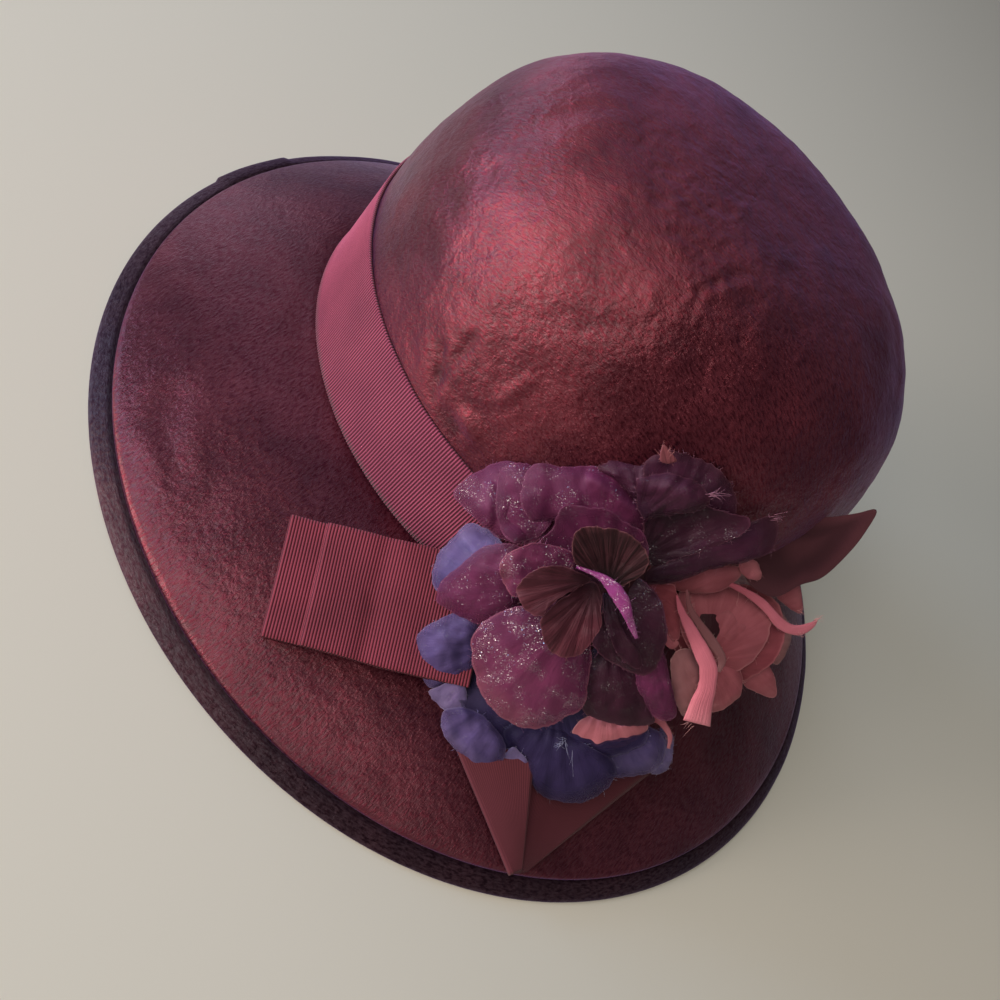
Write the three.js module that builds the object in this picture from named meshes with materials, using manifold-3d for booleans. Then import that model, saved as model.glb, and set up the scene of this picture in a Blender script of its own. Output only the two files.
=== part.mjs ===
// Church hat: satin dome crown, turned-down brim, grosgrain band and bow, and a spray of fabric flowers.
// Millimetres, +Z up. The origin is the middle of the brim's oval, on the plane that the brim edge rests on.
// +X is the wearer's front-to-back direction, and the trim sits on the -Y side, towards +X.

import * as THREE from "three";
import { mergeVertices } from "three/addons/utils/BufferGeometryUtils.js";
import Module from "manifold-3d";

const wasm = await Module();
wasm.setup();

// Fit
const GAP = 0.3;
// How far a trimmed piece's facets can stand off its true form
const FACET = 0.1;
const CLOTH_WALL = 1.6;

// Brim oval: half axes of its outermost line, and of the crease where the top layer ends
const RIM_HALF = { x: 155.6, y: 147.8 };
const CREASE_INSET = 6.5;
const CREASE_HEIGHT = 6.4;
const BRIM_WALL = 1.6;
// How much of the brim's fall is even, and how much gathers towards its outside
const BRIM_EVEN_FALL = 0.55;
const BRIM_STEPS = 60;
// Lines round the brim, from the crease (1) to the seam beside the band (0)
const BRIM_SHARES = [1, 0.7, 0.35, 0];

// Crown oval: centre, half axes at its foot, at the top of the band, and its full height
const CROWN_CENTRE = { x: -8.7, y: 13 };
const CROWN_RATIO = 0.9;
const CROWN_FOOT = { half: 95.3, height: 30.3 };
const CROWN_SHOULDER = { half: 93.3, height: 67.9 };
const CROWN_HEIGHT = 146.2;
const DOME_FALL = 2.07;
const DOME_FULLNESS = 3.79;
const CROWN_STEPS = 48;
// Lines round the dome, as shares of the quarter turn from its shoulder (0) to its top (1)
const DOME_TURNS = [1, 0.95, 0.86, 0.74, 0.6, 0.42, 0.22, 0];

// Grosgrain ribbon
const RIBBON_WIDTH = 38;
const RIBBON_WALL = 1;
const BAND_TOP = CROWN_SHOULDER.height;
const BAND_STEPS = 48;
// The band's lower edge stands off the crown by the flare, up to the flare's height
const BAND_FLARE = 0.5;
const BAND_FLARE_HEIGHT = 4;

// Long and short loops of the flat bow, which lie on the brim
const LOOP_START = new THREE.Vector3(29.5, -80.6, 35.2);
const LOOP_ALONG = new THREE.Vector3(-0.814, -0.51, -0.277).normalize();
const LOOP_ACROSS = new THREE.Vector3(0.606, -0.727, -0.323).normalize();
const LOOP_SLOT = 0.8;
const LONG_LOOP = 63.5;
const SHORT_LOOP = 52;
// The short loop lies on the long one
const SHORT_LIFT = 2 * RIBBON_WALL + LOOP_SLOT + GAP;

// Loop folded to a point: its folded edge, its upper free edge and its lower edge on the brim,
// each from beside the tip to under the flowers
const POINT_FOLD = [new THREE.Vector3(92.2, -112.6, 8.9), new THREE.Vector3(47.5, -106.4, 25.5)];
const POINT_UPPER = [new THREE.Vector3(93.4, -110, 10.2), new THREE.Vector3(69.5, -93.6, 30)];
const POINT_LOWER = [new THREE.Vector3(95.4, -108.3, 8.6), new THREE.Vector3(105.4, -55.2, 21)];
const POINT_PLY_GAP = 0.7;
const POINT_SHARES = [0, 0.25, 0.5, 0.75, 1];
const BAR_SIDES = 12;

// Petals
const PETAL_WALL = 1.1;
const PETAL_FACING = new THREE.Vector3(0.5, -0.7, 0.5).normalize();
const PETAL_ACROSS = 4;
const PETAL_ALONG = 4;
// The last row of a petal stands a little before the tip, and rows close up towards it by this power
const TIP_SHARE = 0.985;
const ROW_CLOSENESS = 1.5;

// Colour and roughness of each cloth
const FINISHES = {
  crown: { color: "#6a2f3c", roughness: 0.45 },
  brim: { color: "#63303c", roughness: 0.5 },
  edge: { color: "#3c2a33", roughness: 0.6 },
  ribbon: { color: "#8a3a48", roughness: 0.7 },
  stem: { color: "#3a2a2c", roughness: 0.9 },
  heart: { color: "#5d3038", roughness: 0.8 },
  glitter: { color: "#9a5590", roughness: 0.4 },
  plum: { color: "#6b3060", roughness: 0.7 },
  salmon: { color: "#b5645f", roughness: 0.7 },
  dusk: { color: "#3d2036", roughness: 0.75 },
  coral: { color: "#a4525c", roughness: 0.7 },
  pink: { color: "#a85a60", roughness: 0.6 },
  grey: { color: "#8b8078", roughness: 0.7 },
  blue: { color: "#4c4680", roughness: 0.6 },
  indigo: { color: "#2f2b4e", roughness: 0.6 },
  lilac: { color: "#8178ae", roughness: 0.6 },
};

// Each petal: root, middle and tip of its centre line, half widths to its left and right,
// root width as a share of the full width, where it is widest, the lift of its edges, and its cloth.
// Petals in front come first and keep their whole form.
const PETAL_COLUMNS = [
  "name", "root", "middle", "tip", "left", "right", "rootShare", "widest", "cup", "finish",
];
const PETALS = [
  ["heart_curl", [29, -86, 93], [41, -85, 94], [56, -80, 84], 1.5, 2.5, 0.5, 0.5, 0, "glitter"],
  ["heart_lower", [38, -83, 87], [41, -92, 82], [47, -94, 71], 8, 8.5, 0.3, 0.6, 2, "heart"],
  ["heart_left", [36, -82, 87], [31, -93, 88], [26, -100, 83], 5.5, 6, 0.3, 0.65, 2, "heart"],
  ["heart_right", [41, -78, 85], [51, -81, 82], [61, -80, 75], 4, 4, 0.5, 0.55, 1, "heart"],
  ["heart_glitter", [36, -82, 84], [23, -95, 89], [17, -101, 90], 5, 6, 0.5, 0.6, 1, "glitter"],
  ["heart_inner", [41, -77, 85], [33.5, -82, 97], [27.5, -84, 105], 9.5, 10, 0.6, 0.6, 4, "stem"],
  ["heart_upper", [43.5, -71.5, 79.5], [29.5, -79, 95], [19.5, -84, 104], 13, 13, 0.5, 0.6, 3, "heart"],
  ["plum_front", [42, -78, 78], [47, -94, 61], [58, -97, 42], 15, 16, 0.5, 0.55, -3, "plum"],
  ["pink_curl", [56, -60, 87], [76, -59.5, 79], [97, -56, 57.5], 1.5, 2.5, 0.4, 0.6, 0, "pink"],
  ["pink_front", [50, -63, 86], [74, -61, 75], [96, -57, 55], 7, 6.5, 0.5, 0.85, -4, "pink"],
  ["plum_right", [48, -69, 86], [65, -71, 74], [89, -64, 52], 4.5, 4.5, 0.5, 0.75, 2, "plum"],
  ["pink_strip", [46, -67, 86], [58, -64, 80], [70, -60, 73], 3, 3, 0.6, 0.5, 0, "pink"],
  ["plum_lower", [51, -72, 71], [66, -80, 61], [76, -79, 47], 11, 11, 0.4, 0.6, 3, "plum"],
  ["salmon_lower", [67.5, -74.5, 54], [75.5, -76.5, 47], [83.5, -74.5, 39], 12, 12, 0.6, 0.5, 2, "salmon"],
  ["salmon_curl", [84, -65, 48], [89, -62, 48], [98, -60, 41], 2.5, 2, 0.7, 0.5, 0, "salmon"],
  ["plum_left", [38, -76, 71], [22, -88, 60], [14, -90, 47], 9, 14, 0.4, 0.65, 4, "plum"],
  ["plum_upper", [36, -72, 79], [23, -72, 94], [12, -72, 102], 14, 15, 0.4, 0.6, 5, "plum"],
  ["plum_upper_left", [29, -79, 72], [9, -78, 76], [-5, -76, 77], 11, 14, 0.4, 0.6, 5, "plum"],
  ["dusk_right", [45, -65, 86], [52, -54, 99], [61, -39, 111], 8, 6, 0.3, 0.65, 3, "dusk"],
  ["dusk_middle", [42, -63, 88], [46, -57, 100], [49, -51, 111], 6, 7, 0.5, 0.6, 2, "dusk"],
  ["dusk_ridge", [33, -65, 98], [34, -63, 111], [40, -59, 116], 7, 4, 0.6, 0.6, -2, "dusk"],
  ["dusk_upper", [41, -57, 94], [35, -57, 111], [32, -55, 122], 13, 13, 0.4, 0.6, 3, "dusk"],
  ["dusk_left", [33.5, -61, 95], [26, -62.5, 104], [20, -61.5, 108], 9, 9, 0.5, 0.6, 2, "dusk"],
  ["coral_tip", [29, -61, 113], [25, -63, 118], [21, -66, 122], 1.5, 2.5, 0.9, 0.4, 0, "coral"],
  ["pink_upper", [62, -51, 81], [78, -35, 84], [99, -14, 79], 6, 7, 0.5, 0.6, 3, "pink"],
  ["pink_middle", [82, -47, 64], [78, -45, 74], [75, -39, 81], 6, 7, 0.6, 0.6, 2, "pink"],
  ["pink_point", [78, -44, 71], [91, -36, 69], [111, -24, 58], 7, 6, 0.6, 0.5, 2, "pink"],
  ["pink_lower", [76, -48, 70], [88, -46, 65], [102, -40, 53], 6, 6, 0.6, 0.6, 2, "pink"],
  ["pink_top", [57, -57, 79], [62, -49, 84], [68, -39, 88], 5, 4, 0.5, 0.6, 1, "pink"],
  ["pink_grey", [79, -38, 71], [93, -21, 68], [103, -11, 64], 6, 6, 0.5, 0.6, 1, "grey"],
  ["pink_far", [78, -37, 71], [86, -21, 77], [86, -12, 83], 3, 3, 0.8, 0.5, 0, "pink"],
  ["blue_fold", [53, -90, 39], [61, -95, 32], [70, -96, 19], 5, 5, 0.5, 0.7, 3, "lilac"],
  ["blue_lower_left", [50, -87, 45], [50.5, -100.5, 37.5], [53, -107.5, 24], 14, 15, 0.4, 0.6, -3, "blue"],
  ["blue_left", [36, -88, 47], [28, -96, 40], [23, -100, 30], 13, 12, 0.5, 0.6, -4, "blue"],
  ["blue_upper", [33, -79, 51], [16, -85, 51], [8, -81, 45], 9, 9, 0.5, 0.6, 2, "blue"],
  ["blue_right", [71, -71, 45], [85, -72, 40], [99, -66, 31], 15, 14, 0.4, 0.6, -2, "blue"],
  ["blue_end", [88, -61, 37], [97, -61, 36], [106, -58, 30], 4, 4, 0.5, 0.6, 1, "lilac"],
  ["blue_bottom", [61, -82, 43], [75, -88, 35], [87, -89, 23], 13, 14, 0.4, 0.6, 2, "indigo"],
  ["ribbon_tail", [68, -38, 90], [77, -20, 102], [78.5, -8, 119.5], 10, 9, 1, 0.3, 0, "ribbon"],
].map((row) => Object.fromEntries(PETAL_COLUMNS.map((column, i) => [column, row[i]])));

// Bound stems, which hold the petals' roots: foot inside the hat, round tip, and half width and height
const STEM_COLUMNS = ["name", "foot", "tip", "halfWidth", "halfHeight"];
const STEMS = [
  ["plum_stem", [29, -56, 78], [45, -78, 82], 15, 14],
  ["pink_stem", [62, -34, 72], [78, -49, 70], 10, 9],
  ["blue_stem", [43, -54, 46], [54, -85, 45], 24, 10],
].map((row) => Object.fromEntries(STEM_COLUMNS.map((column, i) => [column, row[i]])));
const STEM_SIDES = 12;
// Along a stem, its size as a share of its full size
const STEM_PROFILE = [[0, 0], [0, 1], [0.5, 0.95], [0.8, 0.7], [0.95, 0.35], [1, 0]];

const vector = (xyz) => new THREE.Vector3(...xyz);

// A closed body's geometry with shared vertices, as a solid for joining and cutting
function toSolid(geometry) {
  const bare = geometry.index ? geometry.toNonIndexed() : geometry.clone();
  bare.deleteAttribute("normal");
  bare.deleteAttribute("uv");
  const merged = mergeVertices(bare, 1e-4);
  const triangles = Array.from(merged.index.array);
  const points = merged.attributes.position.array;
  const solid = new wasm.Manifold(new wasm.Mesh({
    numProp: 3,
    vertProperties: new Float32Array(points),
    triVerts: new Uint32Array(triangles),
  }));
  if (solid.volume() > 0) return solid;
  const turned = [];
  for (let i = 0; i < triangles.length; i += 3) {
    turned.push(triangles[i], triangles[i + 2], triangles[i + 1]);
  }
  return new wasm.Manifold(new wasm.Mesh({
    numProp: 3,
    vertProperties: new Float32Array(points),
    triVerts: new Uint32Array(turned),
  }));
}

function toGeometry(solid) {
  const mesh = solid.getMesh();
  const geometry = new THREE.BufferGeometry();
  geometry.setAttribute("position", new THREE.BufferAttribute(new Float32Array(mesh.vertProperties), 3));
  geometry.setIndex(new THREE.BufferAttribute(new Uint32Array(mesh.triVerts), 1));
  geometry.computeVertexNormals();
  return geometry;
}

function namedMesh(name, solid, finish) {
  const material = new THREE.MeshStandardMaterial({ ...FINISHES[finish], metalness: 0 });
  const mesh = new THREE.Mesh(toGeometry(solid), material);
  mesh.name = name;
  return mesh;
}

// Joins a table of points, rows x columns, into faces. Rows and columns can each close on themselves.
function gridFaces(rows, columns, start, closeRows, closeColumns) {
  const faces = [];
  const lastRow = closeRows ? rows : rows - 1;
  const lastColumn = closeColumns ? columns : columns - 1;
  for (let i = 0; i < lastRow; i += 1) {
    for (let j = 0; j < lastColumn; j += 1) {
      const a = start + i * columns + j;
      const b = start + i * columns + ((j + 1) % columns);
      const c = start + ((i + 1) % rows) * columns + ((j + 1) % columns);
      const d = start + ((i + 1) % rows) * columns + j;
      faces.push(a, b, c, a, c, d);
    }
  }
  return faces;
}

function geometryFrom(points, faces) {
  const geometry = new THREE.BufferGeometry();
  const coordinates = points.flatMap((p) => [p.x, p.y, p.z]);
  geometry.setAttribute("position", new THREE.Float32BufferAttribute(coordinates, 3));
  geometry.setIndex(faces);
  return geometry;
}

// A ring whose closed section is given at each turn
function ringSolid(steps, sectionAt) {
  const sections = [];
  for (let i = 0; i < steps; i += 1) {
    sections.push(sectionAt((i / steps) * Math.PI * 2));
  }
  const faces = gridFaces(steps, sections[0].length, 0, true, true);
  return toSolid(geometryFrom(sections.flat(), faces));
}

// A turned profile of [radius, height] points, made oval and set on its centre
function ovalSolid(profile, centre, ratio, steps) {
  const geometry = new THREE.LatheGeometry(profile.map(([r, z]) => new THREE.Vector2(r, z)), steps);
  geometry.rotateX(Math.PI / 2);
  geometry.scale(1, ratio, 1);
  geometry.translate(centre.x, centre.y, 0);
  return toSolid(geometry);
}

// The crown's outline from the tip down to its foot, moved outwards by a distance
function crownOutline(offset) {
  const outline = [];
  for (const turn of DOME_TURNS) {
    const rise = Math.sin((turn * Math.PI) / 2);
    const share = turn === 1 ? 0 : (1 - rise ** DOME_FALL) ** (1 / DOME_FULLNESS);
    const top = CROWN_HEIGHT + offset - CROWN_SHOULDER.height;
    outline.push([(CROWN_SHOULDER.half + offset) * share, CROWN_SHOULDER.height + top * rise]);
  }
  outline.push([CROWN_FOOT.half + offset, CROWN_FOOT.height]);
  return outline;
}

function crownSolid() {
  const profile = [...crownOutline(0), ...crownOutline(-CLOTH_WALL).reverse()];
  return ovalSolid(profile, CROWN_CENTRE, CROWN_RATIO, CROWN_STEPS);
}

// The crown's half axis at a height beside the band
function crownSideAt(height) {
  const share = (height - CROWN_FOOT.height) / (CROWN_SHOULDER.height - CROWN_FOOT.height);
  return CROWN_FOOT.half + (CROWN_SHOULDER.half - CROWN_FOOT.half) * share;
}

// The band's inside, as [half axis, height], moved outwards by a distance
function bandInside(offset) {
  const foot = CROWN_FOOT.height;
  const flareTop = foot + BAND_FLARE_HEIGHT;
  return [
    [crownSideAt(foot) + GAP + BAND_FLARE + offset, foot],
    [crownSideAt(flareTop) + GAP + offset, flareTop],
    [crownSideAt(BAND_TOP) + GAP + offset, BAND_TOP],
  ];
}

function bandSolid() {
  const inside = bandInside(0);
  const profile = [...inside, ...bandInside(RIBBON_WALL).reverse(), inside[0]];
  return ovalSolid(profile, CROWN_CENTRE, CROWN_RATIO, BAND_STEPS);
}

// Half axis of the band's foot outside, and the height of the brim's top beside it
const FOOT_OUTSIDE = CROWN_FOOT.half + GAP + BAND_FLARE + RIBBON_WALL;
const SEAM_HEIGHT = CROWN_FOOT.height - GAP;

// A point of the brim's top between the band (share 0) and the crease (share 1)
function brimTop(turn, share, lift) {
  const crease = { x: RIM_HALF.x - CREASE_INSET, y: RIM_HALF.y - CREASE_INSET };
  const x = CROWN_CENTRE.x + FOOT_OUTSIDE * Math.cos(turn);
  const y = CROWN_CENTRE.y + FOOT_OUTSIDE * CROWN_RATIO * Math.sin(turn);
  const fall = BRIM_EVEN_FALL * share + (1 - BRIM_EVEN_FALL) * share * share;
  return new THREE.Vector3(
    x + (crease.x * Math.cos(turn) - x) * share,
    y + (crease.y * Math.sin(turn) - y) * share,
    SEAM_HEIGHT + (CREASE_HEIGHT - SEAM_HEIGHT) * fall + lift,
  );
}

// A point of the brim's inner edge, flush with the inside of the crown's foot, which stands on it
function brimInnerEdge(turn, height) {
  const half = CROWN_FOOT.half - CLOTH_WALL;
  return new THREE.Vector3(
    CROWN_CENTRE.x + half * Math.cos(turn),
    CROWN_CENTRE.y + half * CROWN_RATIO * Math.sin(turn),
    height,
  );
}

function brimSolid() {
  return ringSolid(BRIM_STEPS, (turn) => [
    ...BRIM_SHARES.map((share) => brimTop(turn, share, 0)),
    brimInnerEdge(turn, SEAM_HEIGHT),
    brimInnerEdge(turn, SEAM_HEIGHT - BRIM_WALL),
    ...BRIM_SHARES.toReversed().map((share) => brimTop(turn, share, -BRIM_WALL)),
  ]);
}

// The strip under the brim's outside, as [inset from the rim, height]; its lowest face is flat
const EDGE_SECTION = [
  [0.6, 0],
  [0, 0.6],
  [0.1, 1.3],
  [6.5, 4.3],
  [10, 5.9],
  [10.6, 4.1],
  [2.6, 0],
];

function brimEdgeSolid() {
  return ringSolid(BRIM_STEPS, (turn) => EDGE_SECTION.map(([inset, height]) => new THREE.Vector3(
    (RIM_HALF.x - inset) * Math.cos(turn),
    (RIM_HALF.y - inset) * Math.sin(turn),
    height,
  )));
}

// The whole hat as one filled body, a gap larger, which the trim is trimmed to,
// and how far that body reaches below the brim's top
const ENVELOPE_DEPTH = 8;

function hatEnvelope() {
  const floor = SEAM_HEIGHT - ENVELOPE_DEPTH;
  const filled = (outline, steps) => ovalSolid(
    [...outline, [outline.at(-1)[0], floor], [0, floor]],
    CROWN_CENTRE, CROWN_RATIO, steps,
  );
  const dome = filled(crownOutline(GAP), CROWN_STEPS);
  const bandOutline = bandInside(RIBBON_WALL + GAP).reverse();
  const band = filled([[0, BAND_TOP + GAP], [bandOutline[0][0], BAND_TOP + GAP], ...bandOutline], BAND_STEPS);
  const brim = ringSolid(BRIM_STEPS, (turn) => [
    ...BRIM_SHARES.map((share) => brimTop(turn, share, GAP)),
    ...[0, 1].map((share) => brimTop(turn, share, -ENVELOPE_DEPTH)),
  ]);
  return dome.add(band).add(brim);
}

// A folded strip of ribbon: its side view, with a round fold at the far end, as wide as the ribbon
function flatLoopSolid(length, level, grow) {
  const half = RIBBON_WALL + LOOP_SLOT / 2;
  const inside = LOOP_SLOT / 2 - grow;
  const shape = new THREE.Shape();
  shape.moveTo(-grow, -half - grow);
  shape.lineTo(length - half, -half - grow);
  shape.absarc(length - half, 0, half + grow, -Math.PI / 2, Math.PI / 2, false);
  shape.lineTo(-grow, half + grow);
  if (grow === 0) {
    shape.lineTo(0, inside);
    shape.lineTo(length - half, inside);
    shape.absarc(length - half, 0, inside, Math.PI / 2, -Math.PI / 2, true);
    shape.lineTo(0, -inside);
  }
  const geometry = new THREE.ExtrudeGeometry(shape, {
    depth: RIBBON_WIDTH + 2 * grow,
    bevelEnabled: false,
    curveSegments: 4,
  });
  const up = new THREE.Vector3().crossVectors(LOOP_ALONG, LOOP_ACROSS).normalize();
  const origin = LOOP_START.clone()
    .addScaledVector(LOOP_ACROSS, -RIBBON_WIDTH / 2 - grow)
    .addScaledVector(up, level);
  geometry.applyMatrix4(new THREE.Matrix4().makeBasis(LOOP_ALONG, up, LOOP_ACROSS).setPosition(origin));
  return toSolid(geometry);
}

// A sheet of cloth from a table of its middle points: both faces and the edge all round.
// Grown, it is that much thicker on each face and that much longer past each edge.
function sheetSolid(rows, wall, grow) {
  const lastRow = rows.length - 1;
  const lastColumn = rows[0].length - 1;
  const frames = rows.map((row, i) => row.map((_, j) => {
    const along = rows[Math.min(i + 1, lastRow)][j].clone().sub(rows[Math.max(i - 1, 0)][j]).normalize();
    const across = row[Math.min(j + 1, lastColumn)].clone().sub(row[Math.max(j - 1, 0)]).normalize();
    return { along, across, normal: across.clone().cross(along).normalize() };
  }));
  const stepOut = (index, last) => (index === last ? grow : 0) - (index === 0 ? grow : 0);
  const face = (side) => rows.flatMap((row, i) => row.map((p, j) => p.clone()
    .addScaledVector(frames[i][j].normal, side * (wall / 2 + grow))
    .addScaledVector(frames[i][j].along, stepOut(i, lastRow))
    .addScaledVector(frames[i][j].across, stepOut(j, lastColumn))));
  const columns = rows[0].length;
  const count = rows.length * columns;
  const front = gridFaces(rows.length, columns, 0, false, false);
  const back = gridFaces(rows.length, columns, count, false, false);
  for (let i = 0; i < back.length; i += 3) {
    [back[i + 1], back[i + 2]] = [back[i + 2], back[i + 1]];
  }
  const border = [];
  for (let j = 0; j < columns; j += 1) border.push(j);
  for (let i = 1; i < rows.length; i += 1) border.push(i * columns + columns - 1);
  for (let j = columns - 2; j >= 0; j -= 1) border.push((rows.length - 1) * columns + j);
  for (let i = rows.length - 2; i > 0; i -= 1) border.push(i * columns);
  const rim = border.flatMap((a, k) => {
    const b = border[(k + 1) % border.length];
    return [b, a, count + a, b, count + a, count + b];
  });
  return toSolid(geometryFrom([...face(1), ...face(-1)], [...front, ...back, ...rim]));
}

// A round bar between two points
function barSolid(from, to, radius) {
  const axis = to.clone().sub(from);
  const geometry = new THREE.CylinderGeometry(radius, radius, axis.length() + 2 * radius, BAR_SIDES);
  const turn = new THREE.Quaternion().setFromUnitVectors(new THREE.Vector3(0, 1, 0), axis.normalize());
  geometry.applyQuaternion(turn);
  const middle = from.clone().lerp(to, 0.5);
  geometry.translate(middle.x, middle.y, middle.z);
  return toSolid(geometry);
}

// Upper ply, fold and lower ply of the pointed loop, from the tip to the flowers.
// Grown, it is the two plies and a bar round the fold.
function pointLoopSolid(grow) {
  const rows = [];
  const upperPly = [];
  const lowerPly = [];
  const half = (RIBBON_WALL + POINT_PLY_GAP) / 2;
  for (const share of POINT_SHARES) {
    const fold = POINT_FOLD[0].clone().lerp(POINT_FOLD[1], share);
    const upper = POINT_UPPER[0].clone().lerp(POINT_UPPER[1], share);
    const lower = POINT_LOWER[0].clone().lerp(POINT_LOWER[1], share);
    const outward = fold.clone().sub(upper).normalize();
    rows.push([
      upper,
      upper.clone().lerp(fold, 0.5),
      fold.clone().add(new THREE.Vector3(0, 0, half)),
      fold.clone().addScaledVector(outward, half),
      fold.clone().add(new THREE.Vector3(0, 0, -half)),
      fold.clone().lerp(lower, 0.5),
      lower,
    ]);
    upperPly.push([upper, rows.at(-1)[2]]);
    lowerPly.push([rows.at(-1)[4], lower]);
  }
  if (grow === 0) return sheetSolid(rows, RIBBON_WALL, 0);
  return barSolid(POINT_FOLD[0], POINT_FOLD[1], half + RIBBON_WALL / 2 + grow)
    .add(sheetSolid(upperPly, RIBBON_WALL, grow))
    .add(sheetSolid(lowerPly, RIBBON_WALL, grow));
}

// Width of a petal along its length, as a share of its full width
function petalWidth(share, petal) {
  if (share > petal.widest) {
    const past = (share - petal.widest) / (1 - petal.widest);
    return Math.sqrt(1 - past * past);
  }
  return petal.rootShare + (1 - petal.rootShare) * Math.sin((share / petal.widest) * (Math.PI / 2));
}

function petalSolid(petal, grow) {
  const middle = vector(petal.middle);
  const curve = new THREE.QuadraticBezierCurve3(
    vector(petal.root),
    middle.clone().multiplyScalar(2).sub(vector(petal.root).add(vector(petal.tip)).multiplyScalar(0.5)),
    vector(petal.tip),
  );
  const rows = [];
  for (let i = 0; i <= PETAL_ALONG; i += 1) {
    const share = TIP_SHARE * (1 - (1 - i / PETAL_ALONG) ** ROW_CLOSENESS);
    const along = curve.getTangent(share);
    const across = new THREE.Vector3().crossVectors(along, PETAL_FACING).normalize();
    const out = new THREE.Vector3().crossVectors(across, along);
    const width = petalWidth(share, petal);
    const row = [];
    for (let j = 0; j <= PETAL_ACROSS; j += 1) {
      const side = (2 * j) / PETAL_ACROSS - 1;
      const half = side < 0 ? petal.left : petal.right;
      row.push(curve.getPoint(share)
        .addScaledVector(across, half * width * side)
        .addScaledVector(out, petal.cup * side * side * width));
    }
    rows.push(row);
  }
  return sheetSolid(rows, PETAL_WALL, grow);
}

function stemSolid(stem, grow) {
  const foot = vector(stem.foot);
  const axis = vector(stem.tip).sub(foot);
  const length = axis.length() + grow;
  const profile = STEM_PROFILE.map(([share, size]) => new THREE.Vector2(size, share * length));
  const geometry = new THREE.LatheGeometry(profile, STEM_SIDES);
  const sideways = new THREE.Vector3(-axis.y, axis.x, 0).normalize();
  const upward = new THREE.Vector3().crossVectors(sideways, axis).normalize();
  geometry.scale(stem.halfWidth + grow, 1, stem.halfHeight + grow);
  geometry.applyMatrix4(new THREE.Matrix4().makeBasis(sideways, axis.normalize(), upward).setPosition(foot));
  return toSolid(geometry);
}

// The biggest piece that is left of a solid after it was trimmed
function largest(solid) {
  return solid.decompose().sort((a, b) => b.volume() - a.volume())[0];
}

const hat = new THREE.Group();
hat.name = "church_hat";
hat.add(namedMesh("crown", crownSolid(), "crown"));
hat.add(namedMesh("brim", brimSolid(), "brim"));
hat.add(namedMesh("brim_edge", brimEdgeSolid(), "edge"));
hat.add(namedMesh("hat_band", bandSolid(), "ribbon"));

// Trim: each piece keeps clear of the hat and of the pieces before it
const trim = [
  { name: "bow_loop_long", finish: "ribbon", make: (grow) => flatLoopSolid(LONG_LOOP, 0, grow) },
  { name: "bow_loop_short", finish: "ribbon", make: (grow) => flatLoopSolid(SHORT_LOOP, SHORT_LIFT, grow) },
  { name: "bow_loop_point", finish: "ribbon", make: pointLoopSolid },
  ...STEMS.map((stem) => ({ ...stem, finish: "stem", make: (grow) => stemSolid(stem, grow) })),
  ...PETALS.map((petal) => ({ ...petal, make: (grow) => petalSolid(petal, grow) })),
];
let taken = hatEnvelope();
for (const piece of trim) {
  const solid = largest(piece.make(0).subtract(taken).simplify(FACET));
  hat.add(namedMesh(piece.name, solid, piece.finish));
  taken = taken.add(piece.make(GAP + FACET));
}

export default hat;
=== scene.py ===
"""Looks of a church hat: satin crown and brim, grosgrain band and bow, and a spray of fabric flowers.

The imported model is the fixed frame. Sizes and tables are in millimetres, and meshes are in metres.
"""

import math

import bmesh
import bpy
import numpy as np
from mathutils import Matrix, Vector, noise


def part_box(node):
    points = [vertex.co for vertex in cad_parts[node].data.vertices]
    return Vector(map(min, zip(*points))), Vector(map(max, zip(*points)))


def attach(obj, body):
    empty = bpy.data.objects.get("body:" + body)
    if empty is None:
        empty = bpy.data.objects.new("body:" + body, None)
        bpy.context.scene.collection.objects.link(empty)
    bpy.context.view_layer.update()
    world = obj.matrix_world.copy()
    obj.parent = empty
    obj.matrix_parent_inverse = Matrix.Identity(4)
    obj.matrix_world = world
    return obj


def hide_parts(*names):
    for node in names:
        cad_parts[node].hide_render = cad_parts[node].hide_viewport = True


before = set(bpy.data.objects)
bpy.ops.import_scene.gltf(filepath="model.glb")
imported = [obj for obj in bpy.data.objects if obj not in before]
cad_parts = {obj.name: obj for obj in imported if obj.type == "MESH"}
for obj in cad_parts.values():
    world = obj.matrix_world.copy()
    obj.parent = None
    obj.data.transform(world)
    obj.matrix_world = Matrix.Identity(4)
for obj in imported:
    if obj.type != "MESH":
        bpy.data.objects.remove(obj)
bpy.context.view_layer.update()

MM = 0.001
TAU = 2 * math.pi
WELD = 0.002

# Crown and brim, in millimetres, as the frame has them
CROWN_LOW, CROWN_HIGH = (np.array(corner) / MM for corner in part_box("crown"))
EDGE_LOW, EDGE_HIGH = (np.array(corner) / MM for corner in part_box("brim_edge"))
CROWN_CENTRE = (CROWN_LOW + CROWN_HIGH)[:2] / 2
CROWN_FOOT_HALF = (CROWN_HIGH - CROWN_LOW)[0] / 2
CROWN_FOOT_HEIGHT = CROWN_LOW[2]
CROWN_TOP = CROWN_HIGH[2]
CROWN_RATIO = 0.9
CROWN_SHOULDER_HALF = CROWN_FOOT_HALF - 2
BAND_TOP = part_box("hat_band")[1].z / MM
DOME_FALL = 2.07
DOME_FULLNESS = 3.79
CROWN_WALL = 1.6
RIM_HALF = (EDGE_HIGH - EDGE_LOW)[:2] / 2
CREASE_INSET = 6.5
CREASE_HEIGHT = 6.4
BRIM_EVEN_FALL = 0.55
GAP = 0.3
SEAM_HEIGHT = CROWN_FOOT_HEIGHT - GAP
FOOT_STANDS_OUT = 1.8
BRIM_WALL = 1.6
RIBBON_WIDTH = 38
RIBBON_WALL = 0.9
BAND_FLARE = 0.5
RIB_PITCH = 0.95
RIB_DEPTH = 0.12
RIB_SAMPLES = 4


def named(columns, table):
    """The rows of a table, as dictionaries with the names of its columns."""
    return [dict(zip(columns, row)) for row in table]


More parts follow.
